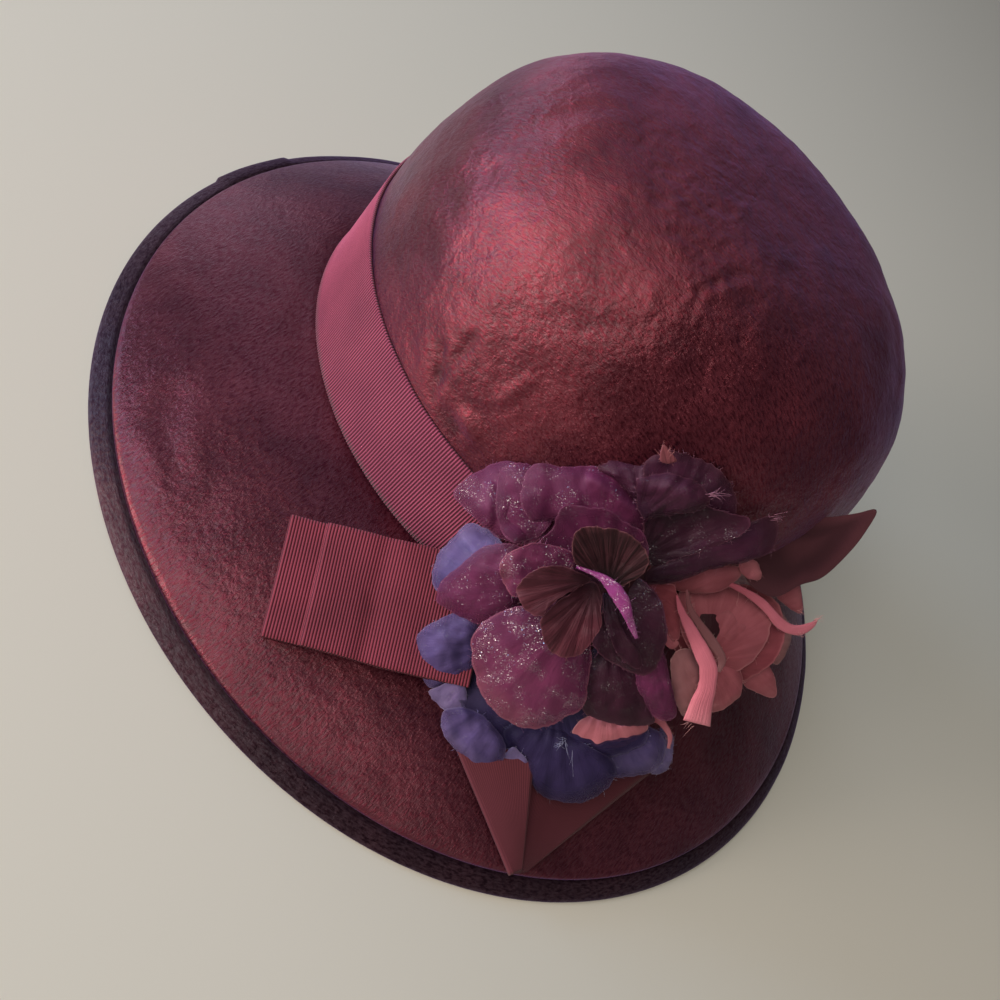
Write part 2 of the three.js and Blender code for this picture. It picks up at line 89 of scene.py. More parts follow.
# Camera, as the photograph's: turned about its own line of sight
CAMERA_TARGET = np.array([4.5, -8.45, 0.0])
CAMERA_DISTANCE = 378.2
CAMERA_ELEVATION = math.radians(47.64)
CAMERA_ROLL = math.radians(49.17)
CAMERA_SENSOR = 36.0
CAMERA_LENS = 36.0


def camera_frame():
    """The camera's place, and its directions to the right, up and back."""
    back = np.array([0.0, -math.cos(CAMERA_ELEVATION), math.sin(CAMERA_ELEVATION)])
    level = np.array([1.0, 0.0, 0.0])
    upright = np.array([0.0, math.sin(CAMERA_ELEVATION), math.cos(CAMERA_ELEVATION)])
    side = level * math.cos(CAMERA_ROLL) + upright * math.sin(CAMERA_ROLL)
    up = upright * math.cos(CAMERA_ROLL) - level * math.sin(CAMERA_ROLL)
    return CAMERA_TARGET + back * CAMERA_DISTANCE, side, up, back


# Petals and creases are sketched on a plane square to the line of sight, this far from the eye. X is to
# the right and Y is up, in millimetres, from the heart of the flowers, which is this far from the
# sight's middle.
SKETCH_DISTANCE = 300
SKETCH_HEART = (30, -36)


def on_sketch(points):
    """Points in space, as places on the sketch."""
    eye, side, up, back = camera_frame()
    offset = np.asarray(points, float) - eye
    depth = -(offset @ back)
    place = np.stack([offset @ side, offset @ up], -1) * SKETCH_DISTANCE / depth[..., None]
    return place - np.array(SKETCH_HEART)


# Meshes

def unit(vectors):
    length = np.linalg.norm(vectors, axis=-1, keepdims=True)
    return vectors / np.maximum(length, 1e-9)


def grid_faces(rows, columns):
    """Four-cornered faces of a table of points that stays open both ways."""
    first = (np.arange(rows - 1)[:, None] * columns + np.arange(columns - 1)[None, :]).reshape(-1)
    return np.stack([first, first + 1, first + columns + 1, first + columns], -1)


def grid_normals(points):
    """Direction off the surface at each point of a table."""
    along = np.gradient(points, axis=0)
    across = np.gradient(points, axis=1)
    return unit(np.cross(across, along))


def closed_normals(points):
    """Direction off a surface whose last column of points meets its first."""
    normals = grid_normals(points)
    seam = unit(normals[:, 0] + normals[:, -1])
    normals[:, 0] = seam
    normals[:, -1] = seam
    return normals


def grid(points, uv):
    """A surface through a table of points. Seams whose points meet are welded later."""
    rows, columns = points.shape[:2]
    return points.reshape(-1, 3), grid_faces(rows, columns), uv.reshape(-1, uv.shape[-1])


SHEET_EDGE_ROWS = 3


def sheet(points, uv, wall, edge_wall=None):
    """A closed sheet of cloth round a table of middle points, thinner towards its edges if asked."""
    rows, columns = points.shape[:2]
    edge_wall = wall if edge_wall is None else edge_wall
    i = np.minimum(np.arange(rows), np.arange(rows)[::-1])[:, None]
    j = np.minimum(np.arange(columns), np.arange(columns)[::-1])[None, :]
    near = np.clip(np.minimum(i, j) / SHEET_EDGE_ROWS, 0, 1)[..., None]
    half = (edge_wall + (wall - edge_wall) * near) / 2
    normals = grid_normals(points)
    faces = grid_faces(rows, columns)
    count = rows * columns
    border = np.array([
        *range(columns),
        *range(2 * columns - 1, count, columns),
        *range(count - 2, count - columns - 1, -1),
        *range(count - 2 * columns, 0, -columns),
    ])
    following = np.roll(border, -1)
    rim = np.stack([following, border, border + count, following + count], 1)
    both = np.concatenate([points + normals * half, points - normals * half]).reshape(-1, 3)
    all_faces = np.concatenate([faces, faces[:, ::-1] + count, rim])
    return both, all_faces, np.concatenate([uv.reshape(-1, uv.shape[-1])] * 2)


def at_level(places, level):
    """Flat places, as points in space at one level."""
    return np.concatenate([places, np.full((*places.shape[:-1], 1), float(level))], -1)


def between(before, first, second, after, share):
    """A smooth curve from the first point to the second one, at a share of the way."""
    return 0.5 * (
        2 * first + (second - before) * share
        + (2 * before - 5 * first + 4 * second - after) * share**2
        + (3 * first - before - 3 * second + after) * share**3
    )


def surface_area(points):
    """Area of the surface through a table of points."""
    along = np.diff(points, axis=0)[:, :-1]
    across = np.diff(points, axis=1)[:-1]
    return np.linalg.norm(np.cross(along, across), axis=-1).sum()


def flat_size(points):
    """Width, length and area of the flat cloth that a table of points was cut from."""
    width = np.linalg.norm(np.diff(points, axis=1), axis=-1).sum(1).max()
    length = np.linalg.norm(np.diff(points, axis=0), axis=-1).sum(0).max()
    return width, length, min(surface_area(points), width * length)


def add_piece(name, body, material, nodes):
    """Makes an object of (points, faces, uv) in millimetres, which stands for the CAD nodes."""
    points, faces, uv = body
    mesh = bpy.data.meshes.new(name)
    mesh.from_pydata((points * MM).tolist(), [], faces.tolist())
    corner = np.zeros(len(mesh.loops), np.int32)
    mesh.loops.foreach_get("vertex_index", corner)
    for name_of_map, columns in (("UVMap", uv[:, :2]), ("Veins", uv[:, 2:])):
        if columns.shape[1]:
            layer = mesh.uv_layers.new(name=name_of_map)
            layer.data.foreach_set("uv", columns[corner].reshape(-1).astype(np.float32))
    work = bmesh.new()
    work.from_mesh(mesh)
    bmesh.ops.remove_doubles(work, verts=work.verts, dist=WELD * MM)
    bmesh.ops.recalc_face_normals(work, faces=work.faces)
    work.to_mesh(mesh)
    work.free()
    mesh.shade_smooth()
    mesh.materials.append(material)
    piece = bpy.data.objects.new(name, mesh)
    bpy.context.scene.collection.objects.link(piece)
    if nodes:
        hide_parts(*nodes)
    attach(piece, "root")
    return piece


NOISE_SHIFT = (7.3, 3.1, 5.7)
NOISE_GAIN = 1.6


def wavering(points, size, seed):
    """Smooth noise from about -1 to 1 at each point, with features of about the given size."""
    shift = Vector([seed * part for part in NOISE_SHIFT])
    values = [noise.noise(Vector(p) + shift) for p in points.reshape(-1, 3) / size]
    return np.array(values).reshape(points.shape[:-1]) * NOISE_GAIN


def uneven(points, table):
    """Unevenness of a surface, from rows of size, depth and seed."""
    return sum(depth * wavering(points, size, seed) for size, depth, seed in table)


def segment_distance(points, start, end):
    """Distance of each point from a straight line between two ends."""
    start, end = np.array(start, float), np.array(end, float)
    axis = end - start
    share = np.clip(((points - start) @ axis) / (axis @ axis), 0, 1)
    return np.linalg.norm(points - start - share[..., None] * axis, axis=-1)


# A crease's two ends, width and depth. A low ridge runs along both of its sides.
CREASE_COLUMNS = ("start", "end", "width", "depth")
CREASE_RIDGE = 0.35
CREASE_RIDGE_AT = 1.9


def creased(points, table):
    """How deep a table of creases presses each point in."""
    depth = np.zeros(points.shape[:-1])
    for crease in named(CREASE_COLUMNS, table):
        distance = segment_distance(points, crease["start"], crease["end"]) / crease["width"]
        depth += crease["depth"] * np.exp(-(distance**2))
        depth -= CREASE_RIDGE * crease["depth"] * np.exp(-((distance - CREASE_RIDGE_AT) ** 2))
    return depth


# Materials

class Cloth:
    """A material whose nodes are added one call at a time."""

    def __init__(self, name):
        self.material = bpy.data.materials.new(name)
        self.material.use_nodes = True
        self.tree = self.material.node_tree
        self.shader = self.tree.nodes["Principled BSDF"]

    def add(self, kind, inputs=None, output=0, **settings):
        node = self.tree.nodes.new("ShaderNode" + kind)
        for key, value in settings.items():
            setattr(node, key, value)
        for key, value in (inputs or {}).items():
            self.put(node.inputs[key], value)
        return node.outputs[output]

    def put(self, socket, value):
        if isinstance(value, bpy.types.NodeSocket):
            self.tree.links.new(value, socket)
        else:
            socket.default_value = value

    def set(self, **inputs):
        for key, value in inputs.items():
            self.put(self.shader.inputs[key.replace("_", " ")], value)

    def math(self, operation, a, b=0.0):
        return self.add("Math", {0: a, 1: b}, operation=operation)

    def mix(self, share, a, b):
        return self.add("Mix", {0: share, 6: a, 7: b}, output=2, data_type="RGBA")

    def range(self, value, low, high, to_low=0.0, to_high=1.0):
        inputs = {0: value, 1: low, 2: high, 3: to_low, 4: to_high}
        return self.add("MapRange", inputs, clamp=True)

    def vector(self, operation, inputs):
        return self.add("VectorMath", inputs, operation=operation)

    def uv_part(self, part, uv_map="UVMap"):
        return self.add("SeparateXYZ", {0: self.add("UVMap", uv_map=uv_map)}, output=part)

    def object_place(self):
        return self.add("TexCoord", output=3)

    def noise(self, place, scale, detail=2.0, roughness=0.5):
        inputs = {"Vector": place, "Scale": scale, "Detail": detail, "Roughness": roughness}
        return self.add("TexNoise", inputs)

    def uv_noise(self, scale_u, scale_v, detail, roughness, uv_map="UVMap"):
        uv = self.add("UVMap", uv_map=uv_map)
        place = self.add("Mapping", {"Vector": uv, "Scale": (scale_u, scale_v, 1)})
        return self.noise(place, 1.0, detail, roughness)

    def bump(self, height, distance, strength=1.0, under=None):
        inputs = {"Height": height, "Distance": distance, "Strength": strength}
        if under is not None:
            inputs["Normal"] = under
        return self.add("Bump", inputs)


# Satin: scales across and along its floats, scales in space, heights in metres and gloss
SATIN_DASHES = (1500, 430)
SATIN_GLINTS = (2600, 900)
SATIN_PATCHES = 45
SATIN_FOLDS = 260
FOLD_RELIEF = 0.0012
DASH_RELIEF = 0.0003
GLINT_RELIEF = 0.00012
SUNKEN_LUSTRE = 0.42
SATIN_ANISOTROPY = 0.85
SATIN_SHEEN = (170, 140, 220)
# Ribbons, petals, glitter and loose threads: the same
RIBBON_THREADS = (3, 160)
RIBBON_PATCHES = 60
RIBBON_RELIEF = 0.00022
PETAL_STREAKS = 60
PETAL_PATCHES = 75
PETAL_GRAIN = 2600
PETAL_RELIEF = 0.0007
GRAIN_RELIEF = 0.00012
# How far a petal's rim pales: partly its thin edge's own colour, partly a painted highlight
RIM_PALENESS = 0.45
GLITTER_GRAINS = 4000
GLITTER_LEAN = 1.5
GLITTER_CLUSTERS = 190
GLITTER_IOR = 2.4
GLITTER_TINT = (255, 225, 250)
THREAD_PATCHES = 900
THREAD_PALENESS = 1.5


def rgb(red, green, blue):
    """A colour as it looks on a screen, from 0 to 255, as the linear colour that a shader takes."""
    shares = [value / 255 for value in (red, green, blue)]
    linear = [s / 12.92 if s <= 0.04045 else ((s + 0.055) / 1.055) ** 2.4 for s in shares]
    return (*linear, 1.0)


def satin(name, deep, bright, crinkle, roughness, crease_shade_colour=None):
    """Satin whose floats run along V: fine dashes along them, a wide gloss across them, soft crinkles, and
    painted shade in the creases if a crease colour is given.
    """
    cloth = Cloth(name)
    dashes = cloth.uv_noise(*SATIN_DASHES, 3.0, 0.65)
    glints = cloth.uv_noise(*SATIN_GLINTS, 2.0, 0.6)
    place = cloth.object_place()
    patches = cloth.noise(place, SATIN_PATCHES, 3.0, 0.55)
    folds = cloth.noise(place, SATIN_FOLDS, 4.0, 0.62)
    shade = cloth.math("MULTIPLY", cloth.math("ADD", dashes, patches), 0.5)
    colour = cloth.mix(cloth.range(shade, 0.38, 0.64), rgb(*deep), rgb(*bright))
    # Painted shade: the colour darkens to the crease colour where the second UV map marks a crease
    if crease_shade_colour:
        colour = cloth.mix(cloth.uv_part(0, "Veins"), colour, rgb(*crease_shade_colour))
    relief = cloth.bump(folds, FOLD_RELIEF * crinkle, 0.5)
    relief = cloth.bump(dashes, DASH_RELIEF, 0.7, relief)
    relief = cloth.bump(glints, GLINT_RELIEF, 0.6, relief)
    cloth.set(Base_Color=colour, Normal=relief)
    # Raised threads shine and sunken ones are dull
    cloth.set(Metallic=cloth.range(dashes, 0.4, 0.62, SUNKEN_LUSTRE, 1.0))
    cloth.set(Roughness=cloth.range(dashes, 0.3, 0.7, roughness - 0.06, roughness + 0.08))
    cloth.set(Anisotropic=SATIN_ANISOTROPY, Specular_IOR_Level=0.6)
    cloth.set(Sheen_Weight=0.25, Sheen_Roughness=0.4, Sheen_Tint=rgb(*SATIN_SHEEN))
    cloth.set(Tangent=cloth.add("Tangent", direction_type="UV_MAP", uv_map="UVMap"))
    return cloth.material


def grosgrain(name, ridge, valley_shade, wear, relief=RIBBON_RELIEF):
    """Ribbed ribbon, with painted shade in the valleys between its ribs. U counts ribs, and V is the share
    of the ribbon's width.
    """
    cloth = Cloth(name)
    wave = cloth.math("COSINE", cloth.math("MULTIPLY", cloth.uv_part(0), TAU))
    threads = cloth.uv_noise(*RIBBON_THREADS, 2.0, 0.6)
    patches = cloth.noise(cloth.object_place(), RIBBON_PATCHES)
    height = cloth.math("ADD", cloth.math("MULTIPLY", wave, 0.5), cloth.math("MULTIPLY", threads, 0.3))
    raised = cloth.mix(cloth.range(patches, 0.3, 0.7), rgb(*ridge), rgb(*wear))
    # Painted shade: the colour darkens from the ridges into the valleys between the ribs
    colour = cloth.mix(cloth.range(height, -0.3, 0.5), rgb(*valley_shade), raised)
    cloth.set(Base_Color=colour, Normal=cloth.bump(height, relief, 0.8))
    cloth.set(Roughness=0.75, Sheen_Weight=0.1, Specular_IOR_Level=0.2)
    return cloth.material


def organza(name, root, body, tip, edge, clear, glitter, veins_and_shade):
    """Thin petal cloth, darker towards the root and along its streaks as painted shade, with a paler rim
    that is partly its own thin edge and partly a painted highlight. UVMap holds the nearness to the rim and
    the way from the root, both from 0 to 1. The second UV map holds the bearing round the root in radians
    and the distance from it in metres."""
    cloth = Cloth(name)
    root, body, tip, edge = (rgb(*colour) for colour in (root, body, tip, edge))
    strength, per_radian, depth = veins_and_shade
    rim_share, along = cloth.uv_part(0), cloth.uv_part(1)
    place = cloth.object_place()
    patches = cloth.noise(place, PETAL_PATCHES, 3.0, 0.6)
    streaks = cloth.uv_noise(per_radian, PETAL_STREAKS, 3.0, 0.6, "Veins")
    grain = cloth.noise(place, PETAL_GRAIN, 2.0, 0.7)
    # Painted shade: darker towards the root, deep in the flower
    colour = cloth.mix(cloth.range(along, 0.0, 0.55), root, body)
    colour = cloth.mix(cloth.range(along, 0.82, 1.04), colour, tip)
    # Painted shade in the pleats: darker along the streaks
    colour = cloth.mix(cloth.range(streaks, 0.38, 0.66, 0.0, strength), colour, root)
    colour = cloth.mix(cloth.range(patches, 0.42, 0.7, 0.0, 0.4), colour, root)
    # Paler at the rim: partly the thin edge's own colour, partly a painted highlight
    colour = cloth.mix(cloth.range(rim_share, 0.955, 1.0, 0.0, RIM_PALENESS), colour, edge)
    relief = cloth.bump(streaks, PETAL_RELIEF, depth)
    relief = cloth.bump(patches, PETAL_RELIEF, 0.4, relief)
    relief = cloth.bump(grain, GRAIN_RELIEF, 0.5, relief)
    cloth.set(Base_Color=colour, Normal=relief, Roughness=cloth.range(patches, 0.3, 0.7, 0.5, 0.7))
    if clear > 0:
        cloth.set(Alpha=cloth.range(rim_share, 0.6, 0.97, 1.0, 1.0 - clear))
    if glitter > 0:
        grains = cloth.add("TexVoronoi", {"Vector": place, "Scale": GLITTER_GRAINS}, output=1)
        lean = cloth.vector("SUBTRACT", {0: grains, 1: (0.5, 0.5, 0.5)})
        lean = cloth.vector("SCALE", {0: lean, "Scale": GLITTER_LEAN})
        facet = cloth.vector("ADD", {0: cloth.add("NewGeometry", output=1), 1: lean})
        clusters = cloth.noise(place, GLITTER_CLUSTERS, 3.0, 0.65)
        cloth.set(Coat_Weight=cloth.range(clusters, 0.46, 0.62, 0.0, glitter))
        cloth.set(Coat_Normal=cloth.vector("NORMALIZE", {0: facet}))
        cloth.set(Coat_Roughness=0.12, Coat_IOR=GLITTER_IOR, Coat_Tint=rgb(*GLITTER_TINT))
    cloth.set(Sheen_Weight=0.2, Sheen_Roughness=0.3, Sheen_Tint=edge, Specular_IOR_Level=0.22)
    return cloth.material


def thread(name, colour):
    """Loose fibres, a little paler than their cloth."""
    cloth = Cloth(name)
    mottled = cloth.range(cloth.noise(cloth.object_place(), THREAD_PATCHES), 0.35, 0.65)
    pale = (*(min(1, THREAD_PALENESS * part) for part in rgb(*colour)[:3]), 1.0)
    cloth.set(Base_Color=cloth.mix(mottled, rgb(*colour), pale), Roughness=0.55)
    return cloth.material


# Crown

CROWN_SLACK = 0.3
# Unevenness of the satin: size, depth and seed
CROWN_UNEVEN = [(26, 0.5, 1), (9, 0.16, 2), (4.5, 0.06, 3)]
CROWN_TURNS = 400
DOME_ROWS = 168
FOOT_ROWS = 12
INNER_STEP = 6
# Depth of a crease at which its painted shade is full
CREASE_SHADE_DEPTH = 1.1
# The crown's relief fades out over this height above the band, and this sharply past its near side
RELIEF_FADE_HEIGHT = 12
NEAR_SIDE_SHARPNESS = 4
# Creases pressed into the satin, with their ends in space
CROWN_DENTS = [
    ((-66, -32, 124), (-58, -12, 139), 3.5, 0.5),
    ((-70, -40, 103), (-64, -40, 116), 5.0, 0.6),
    ((-80, -22, 116), (-74, -6, 130), 3.0, 0.4),
    ((40, 30, 138), (52, 20, 133), 4.0, 0.6),
    ((-30, 60, 128), (-10, 66, 124), 4.0, 0.6),
    ((60, 50, 98), (50, 62, 92), 4.0, 0.8),
    ((-60, 66, 86), (-48, 74, 76), 3.5, 0.9),
]
# Creases with their ends on the sketch, on the crown's near side
CROWN_CREASES = [
    ((-47.5, 81.5), (-50.4, 65.5), 1.6, 0.6),
    ((-38.0, 84.5), (-48.0, 73.0), 1.8, 0.5),
    ((-34.0, 87.0), (-33.0, 78.0), 2.4, -0.3),
    ((-53.0, 85.0), (-54.5, 72.0), 2.2, -0.4),
    ((-30.0, 66.0), (-21.0, 72.0), 1.6, -0.4),
    ((-48.0, 62.0), (-44.0, 57.0), 2.5, 0.8),
    ((-40.0, 60.0), (-38.0, 55.0), 2.5, -0.7),
    ((-10.5, 90.0), (9.0, 89.0), 6.0, 0.3),
    ((0.0, 102.5), (12.0, 101.0), 2.6, 0.2),
    ((27.6, 92.5), (30.0, 98.0), 1.5, 0.2),
    ((30.0, 98.0), (34.5, 101.0), 1.6, 0.25),
    ((34.5, 101.0), (43.0, 104.5), 1.8, 0.2),
    ((30.0, 80.0), (28.0, 72.0), 3.0, 0.15),
    ((44.0, 96.0), (42.0, 84.0), 2.6, 0.12),
    ((-45.0, 121.5), (-44.0, 129.0), 3.0, 0.35),
    ((-50.0, 117.0), (-52.0, 109.0), 3.0, 0.3),
]
# Where the satin is crinkled most: the middle and reach of the zone on the sketch
CRINKLE_MIDDLE = (22, 108)
CRINKLE_REACH = (34, 42)
CRINKLES = [(8, 0.3, 41), (4.5, 0.22, 42), (2.8, 0.13, 43)]
CRINKLE_ELSEWHERE = 0.2
CRINKLE_CREST = 0.3


def dome_profile(rows):
    """Half axis, height and slope length from the top, down the dome and the crown's side."""
    turn = np.linspace(1, 0, rows) * math.pi / 2
    rise = np.sin(turn)
    half = CROWN_SHOULDER_HALF * np.maximum(1 - rise**DOME_FALL, 0) ** (1 / DOME_FULLNESS)
    height = BAND_TOP + (CROWN_TOP - BAND_TOP) * rise
    side = np.linspace(0, 1, FOOT_ROWS + 1)[1:]
    half = np.concatenate([half, CROWN_SHOULDER_HALF + (CROWN_FOOT_HALF - CROWN_SHOULDER_HALF) * side])
    height = np.concatenate([height, BAND_TOP + (CROWN_FOOT_HEIGHT - BAND_TOP) * side])
    step = np.hypot(np.diff(half), np.diff(height))
    return half, height, np.concatenate([[0], np.cumsum(step)])


def crown_mesh():
    half, height, length = dome_profile(DOME_ROWS)
    turn = np.linspace(0, TAU, CROWN_TURNS + 1)
    x = CROWN_CENTRE[0] + half[:, None] * np.cos(turn)
    y = CROWN_CENTRE[1] + half[:, None] * CROWN_RATIO * np.sin(turn)
    z = np.repeat(height[:, None], CROWN_TURNS + 1, 1)
    smooth = np.stack([x, y, z], -1)
    middle = np.array([*CROWN_CENTRE, BAND_TOP / 2])
    normals = closed_normals(smooth)
    normals[0] = (0, 0, 1)
    normals *= np.sign(np.sum(normals * (smooth - middle), -1, keepdims=True))
    push = uneven(smooth, CROWN_UNEVEN) - CROWN_SLACK - creased(smooth, CROWN_DENTS)
    eye = camera_frame()[0]
    near_side = np.clip(np.sum(normals * unit(eye - smooth), -1) * NEAR_SIDE_SHARPNESS, 0, 1)
    sketch = on_sketch(smooth)
    pressed = creased(sketch, CROWN_CREASES) * near_side
    push -= pressed
    away = (sketch - np.array(CRINKLE_MIDDLE)) / np.array(CRINKLE_REACH)
    zone = np.exp(-np.sum(away**2, -1) ** 2) * near_side
    zone = CRINKLE_ELSEWHERE + (1 - CRINKLE_ELSEWHERE) * zone
    for size, depth, seed in CRINKLES:
        push += zone * depth * (CRINKLE_CREST - np.abs(wavering(smooth, size, seed)))
    push *= np.clip((height - BAND_TOP) / RELIEF_FADE_HEIGHT, 0, 1)[:, None]
    outside = smooth + normals * push[..., None]
    inside = smooth - normals * CROWN_WALL
    inside[-1, :, 2] = CROWN_FOOT_HEIGHT
    uv = length[:, None, None] * np.stack([np.sin(turn), np.cos(turn)], -1)[None] * MM
    # Painted shade in the creases: how deeply each point is pressed in, carried to the satin in the second
    # UV map
    crease_shade = np.clip(pressed / CREASE_SHADE_DEPTH, 0, 1)
    uv = np.stack([uv[..., 0], uv[..., 1], crease_shade, 0 * crease_shade], -1)
    kept = [*range(0, len(height) - 1, INNER_STEP), len(height) - 1][::-1]
    return grid(np.concatenate([outside, inside[kept]]), np.concatenate([uv, uv[kept]]))


# Brim

BRIM_TURNS = 240
BRIM_ROWS = 44
BRIM_SEARCH_STEPS = 30
# How far the brim goes in under the band, how its rows close up, and where its relief fades, as shares
BRIM_TUCK = 0.06
BRIM_ROW_SPACING = 0.9
BRIM_FADES = (0.1, 0.04)
BRIM_ROLL = 0.5
BRIM_UNEVEN = [(45, 0.5, 4), (14, 0.12, 7), (6, 0.04, 8)]
BRIM_DENTS = [
    ((-85, -95, 13), (-78, -105, 12), 5, 0.5),
    ((-72, -108, 13), (-64, -112, 12), 4, 0.45),
    ((-60, -100, 19), (-50, -116, 15), 7, 0.35),
]
LIP_UNEVEN = [(22, 0.16, 5), (6, 0.06, 6)]
# Section of the lip: inset from the rim and height, from the groove over the strip and back below
LIP_SECTION = [
    (8.2, 5.0), (7.0, 4.3), (6.0, 4.35), (4.6, 4.5), (3.0, 3.9), (1.6, 3.2), (0.5, 2.3), (0.0, 1.3),
    (0.2, 0.4), (1.0, 0.0), (2.4, 0.0), (3.4, 0.7), (6.0, 2.6), (8.6, 4.2),
]
LAP_START = math.radians(171)
LAP_END = math.radians(185)
LAP_STEP = math.radians(0.5)
LAP_WALL = 0.8
LAP_LIFT = 0.7
STRIP_INSET = 2.5
LIP_FOOT = 1.5


def brim_top(turn, share):
    """A point of the brim between the band (share 0) and the crease (share 1), as arrays."""
    foot = CROWN_FOOT_HALF + FOOT_STANDS_OUT
    x = CROWN_CENTRE[0] + foot * np.cos(turn)
    y = CROWN_CENTRE[1] + foot * CROWN_RATIO * np.sin(turn)
    crease = RIM_HALF - CREASE_INSET
    return np.stack(np.broadcast_arrays(
        x + (crease[0] * np.cos(turn) - x) * share,
        y + (crease[1] * np.sin(turn) - y) * share,
        fallen(share),
    ), -1)


def fallen(share):
    """Height of the brim at a share of the way from the band to the crease."""
    fall = BRIM_EVEN_FALL * share + (1 - BRIM_EVEN_FALL) * share**2
    return SEAM_HEIGHT + (CREASE_HEIGHT - SEAM_HEIGHT) * fall


def brim_height(places):
    """Height of the brim's smooth top over places (x, y) between the band and the crease."""
    foot = (CROWN_FOOT_HALF + FOOT_STANDS_OUT) * np.array([1, CROWN_RATIO])
    crease = RIM_HALF - CREASE_INSET
    low, high = np.zeros(places.shape[:-1]), np.ones(places.shape[:-1])
    for _ in range(BRIM_SEARCH_STEPS):
        share = (low + high) / 2
        half = foot + (crease - foot) * share[..., None]
        offset = (places - CROWN_CENTRE * (1 - share[..., None])) / half
        beyond = np.sum(offset**2, -1) > 1
        low, high = np.where(beyond, share, low), np.where(beyond, high, share)
    return fallen(share)


def brim_mesh():
    turn = np.linspace(0, TAU, BRIM_TURNS + 1)
    share = np.concatenate([[-BRIM_TUCK], np.linspace(0, 1, BRIM_ROWS) ** BRIM_ROW_SPACING])
    top = brim_top(turn[None, :], share[:, None])
    top[0, :, 2] = SEAM_HEIGHT
    push = uneven(top, BRIM_UNEVEN) - creased(top, BRIM_DENTS)
    fades = np.clip(share / BRIM_FADES[0], 0, 1) * np.clip((1 - share) / BRIM_FADES[1], 0, 1)
    top[..., 2] += push * fades[:, None]
    under = top - np.array([0, 0, BRIM_WALL])
    # The top layer rolls over a little at the crease, above the lip's groove
    roll = top[-1] + np.array([0, 0, -BRIM_WALL / 2]) + unit(top[-1] - top[-3]) * BRIM_ROLL
    section = np.concatenate([top, roll[None], under[::-1], top[:1]])
    return grid(section, section[..., :2] * MM)


def lip_mesh():
    """The lip outside the crease: a groove, a soft strip and a rolled rim, with its ends lapped."""
    turn = np.linspace(0, TAU, BRIM_TURNS * 2 + 1)
    section = smooth_closed(LIP_SECTION, 6)
    inset = section[:, 0][:, None]
    height = section[:, 1][:, None]
    lap = np.clip((turn - LAP_START) / LAP_STEP, 0, 1) * np.clip((LAP_END - turn) / LAP_STEP, 0, 1)
    strip = np.clip((STRIP_INSET - inset) / STRIP_INSET, 0, 1)
    out = -inset + LAP_WALL * lap[None, :] * strip
    x = (RIM_HALF[0] + out) * np.cos(turn)
    y = (RIM_HALF[1] + out) * np.sin(turn)
    rise = np.clip(height / LIP_FOOT, 0, 1)
    z = height + rise * LAP_WALL * LAP_LIFT * lap[None, :] * np.clip((5 - inset) / 2, 0, 1)
    points = np.stack(np.broadcast_arrays(x, y, z), -1)
    points[..., 2] += uneven(points, LIP_UNEVEN) * rise
    u = np.repeat((turn * RIM_HALF.mean() * MM)[None], len(section), 0)
    v = np.repeat(inset * MM, len(turn), 1)
    return grid(points, np.stack([v, u], -1))


def smooth_closed(table, steps):
    """A closed smooth line through a table of points, whose last corner meets the first."""
    knots = np.array(table, float)
    before, after, later = np.roll(knots, 1, 0), np.roll(knots, -1, 0), np.roll(knots, -2, 0)
    line = [
        between(before[i], knots[i], after[i], later[i], share)
        for i in range(len(knots)) for share in np.arange(steps) / steps
    ]
    return np.array(line + line[:1])


# Ribbons

BAND_ROWS = 14
BAND_LENGTH = TAU * (CROWN_FOOT_HALF + 1) * (1 + CROWN_RATIO) / 2
# The band's ease off the crown, and the wave of its upper edge as size, depth and seed
BAND_EASE_LEAST = 0.12
BAND_EASE_MIDDLE = 0.25
BAND_EASE_RADIUS = 90
BAND_EASE_SIZE = 34
BAND_EASE_SEED = 11
BAND_EDGE_WAVE = (20, 0.25, 12)
LOOP_START = np.array([29.5, -80.6, 35.2])
LOOP_ALONG = unit(np.array([-0.814, -0.51, -0.277]))
LOOP_ACROSS = unit(np.array([0.606, -0.727, -0.323]))
LOOP_ACROSS = unit(LOOP_ACROSS - LOOP_ALONG * (LOOP_ALONG @ LOOP_ACROSS))
LOOP_UP = np.cross(LOOP_ALONG, LOOP_ACROSS)
LOOP_SLOT = 0.8
LOOP_POINTS_ACROSS = 25
LOOP_BULGE = 0.9
LOOP_UNEVEN = (16, 0.18)
LOOP_CLEARANCE = 1.6
LOOP_WALL = RIBBON_WALL * 0.6
LONG_LOOP = 63.5
SHORT_LOOP = 52
SHORT_LIFT = 3.1
POINT_FOLD = [(92.2, -112.6, 8.9), (47.5, -106.4, 25.5)]
POINT_UPPER = [(93.4, -110, 10.2), (69.5, -93.6, 30)]
POINT_LOWER = [(95.4, -108.3, 8.6), (105.4, -55.2, 21)]
POINT_PLY_GAP = 0.7
POINT_ROWS = 40
POINT_PLY_COLUMNS = 20
POINT_FOLD_COLUMNS = 9
POINT_SWELL_UPPER = 0.7
POINT_SWELL_LOWER = 0.1
POINT_UNEVEN = (12, 0.12, 21)
POINT_WALL = RIBBON_WALL * 0.7


def ribs(count):
    """Relief of a ribbed ribbon at each place along it, counted in ribs."""
    return RIB_DEPTH * np.cos(TAU * count)


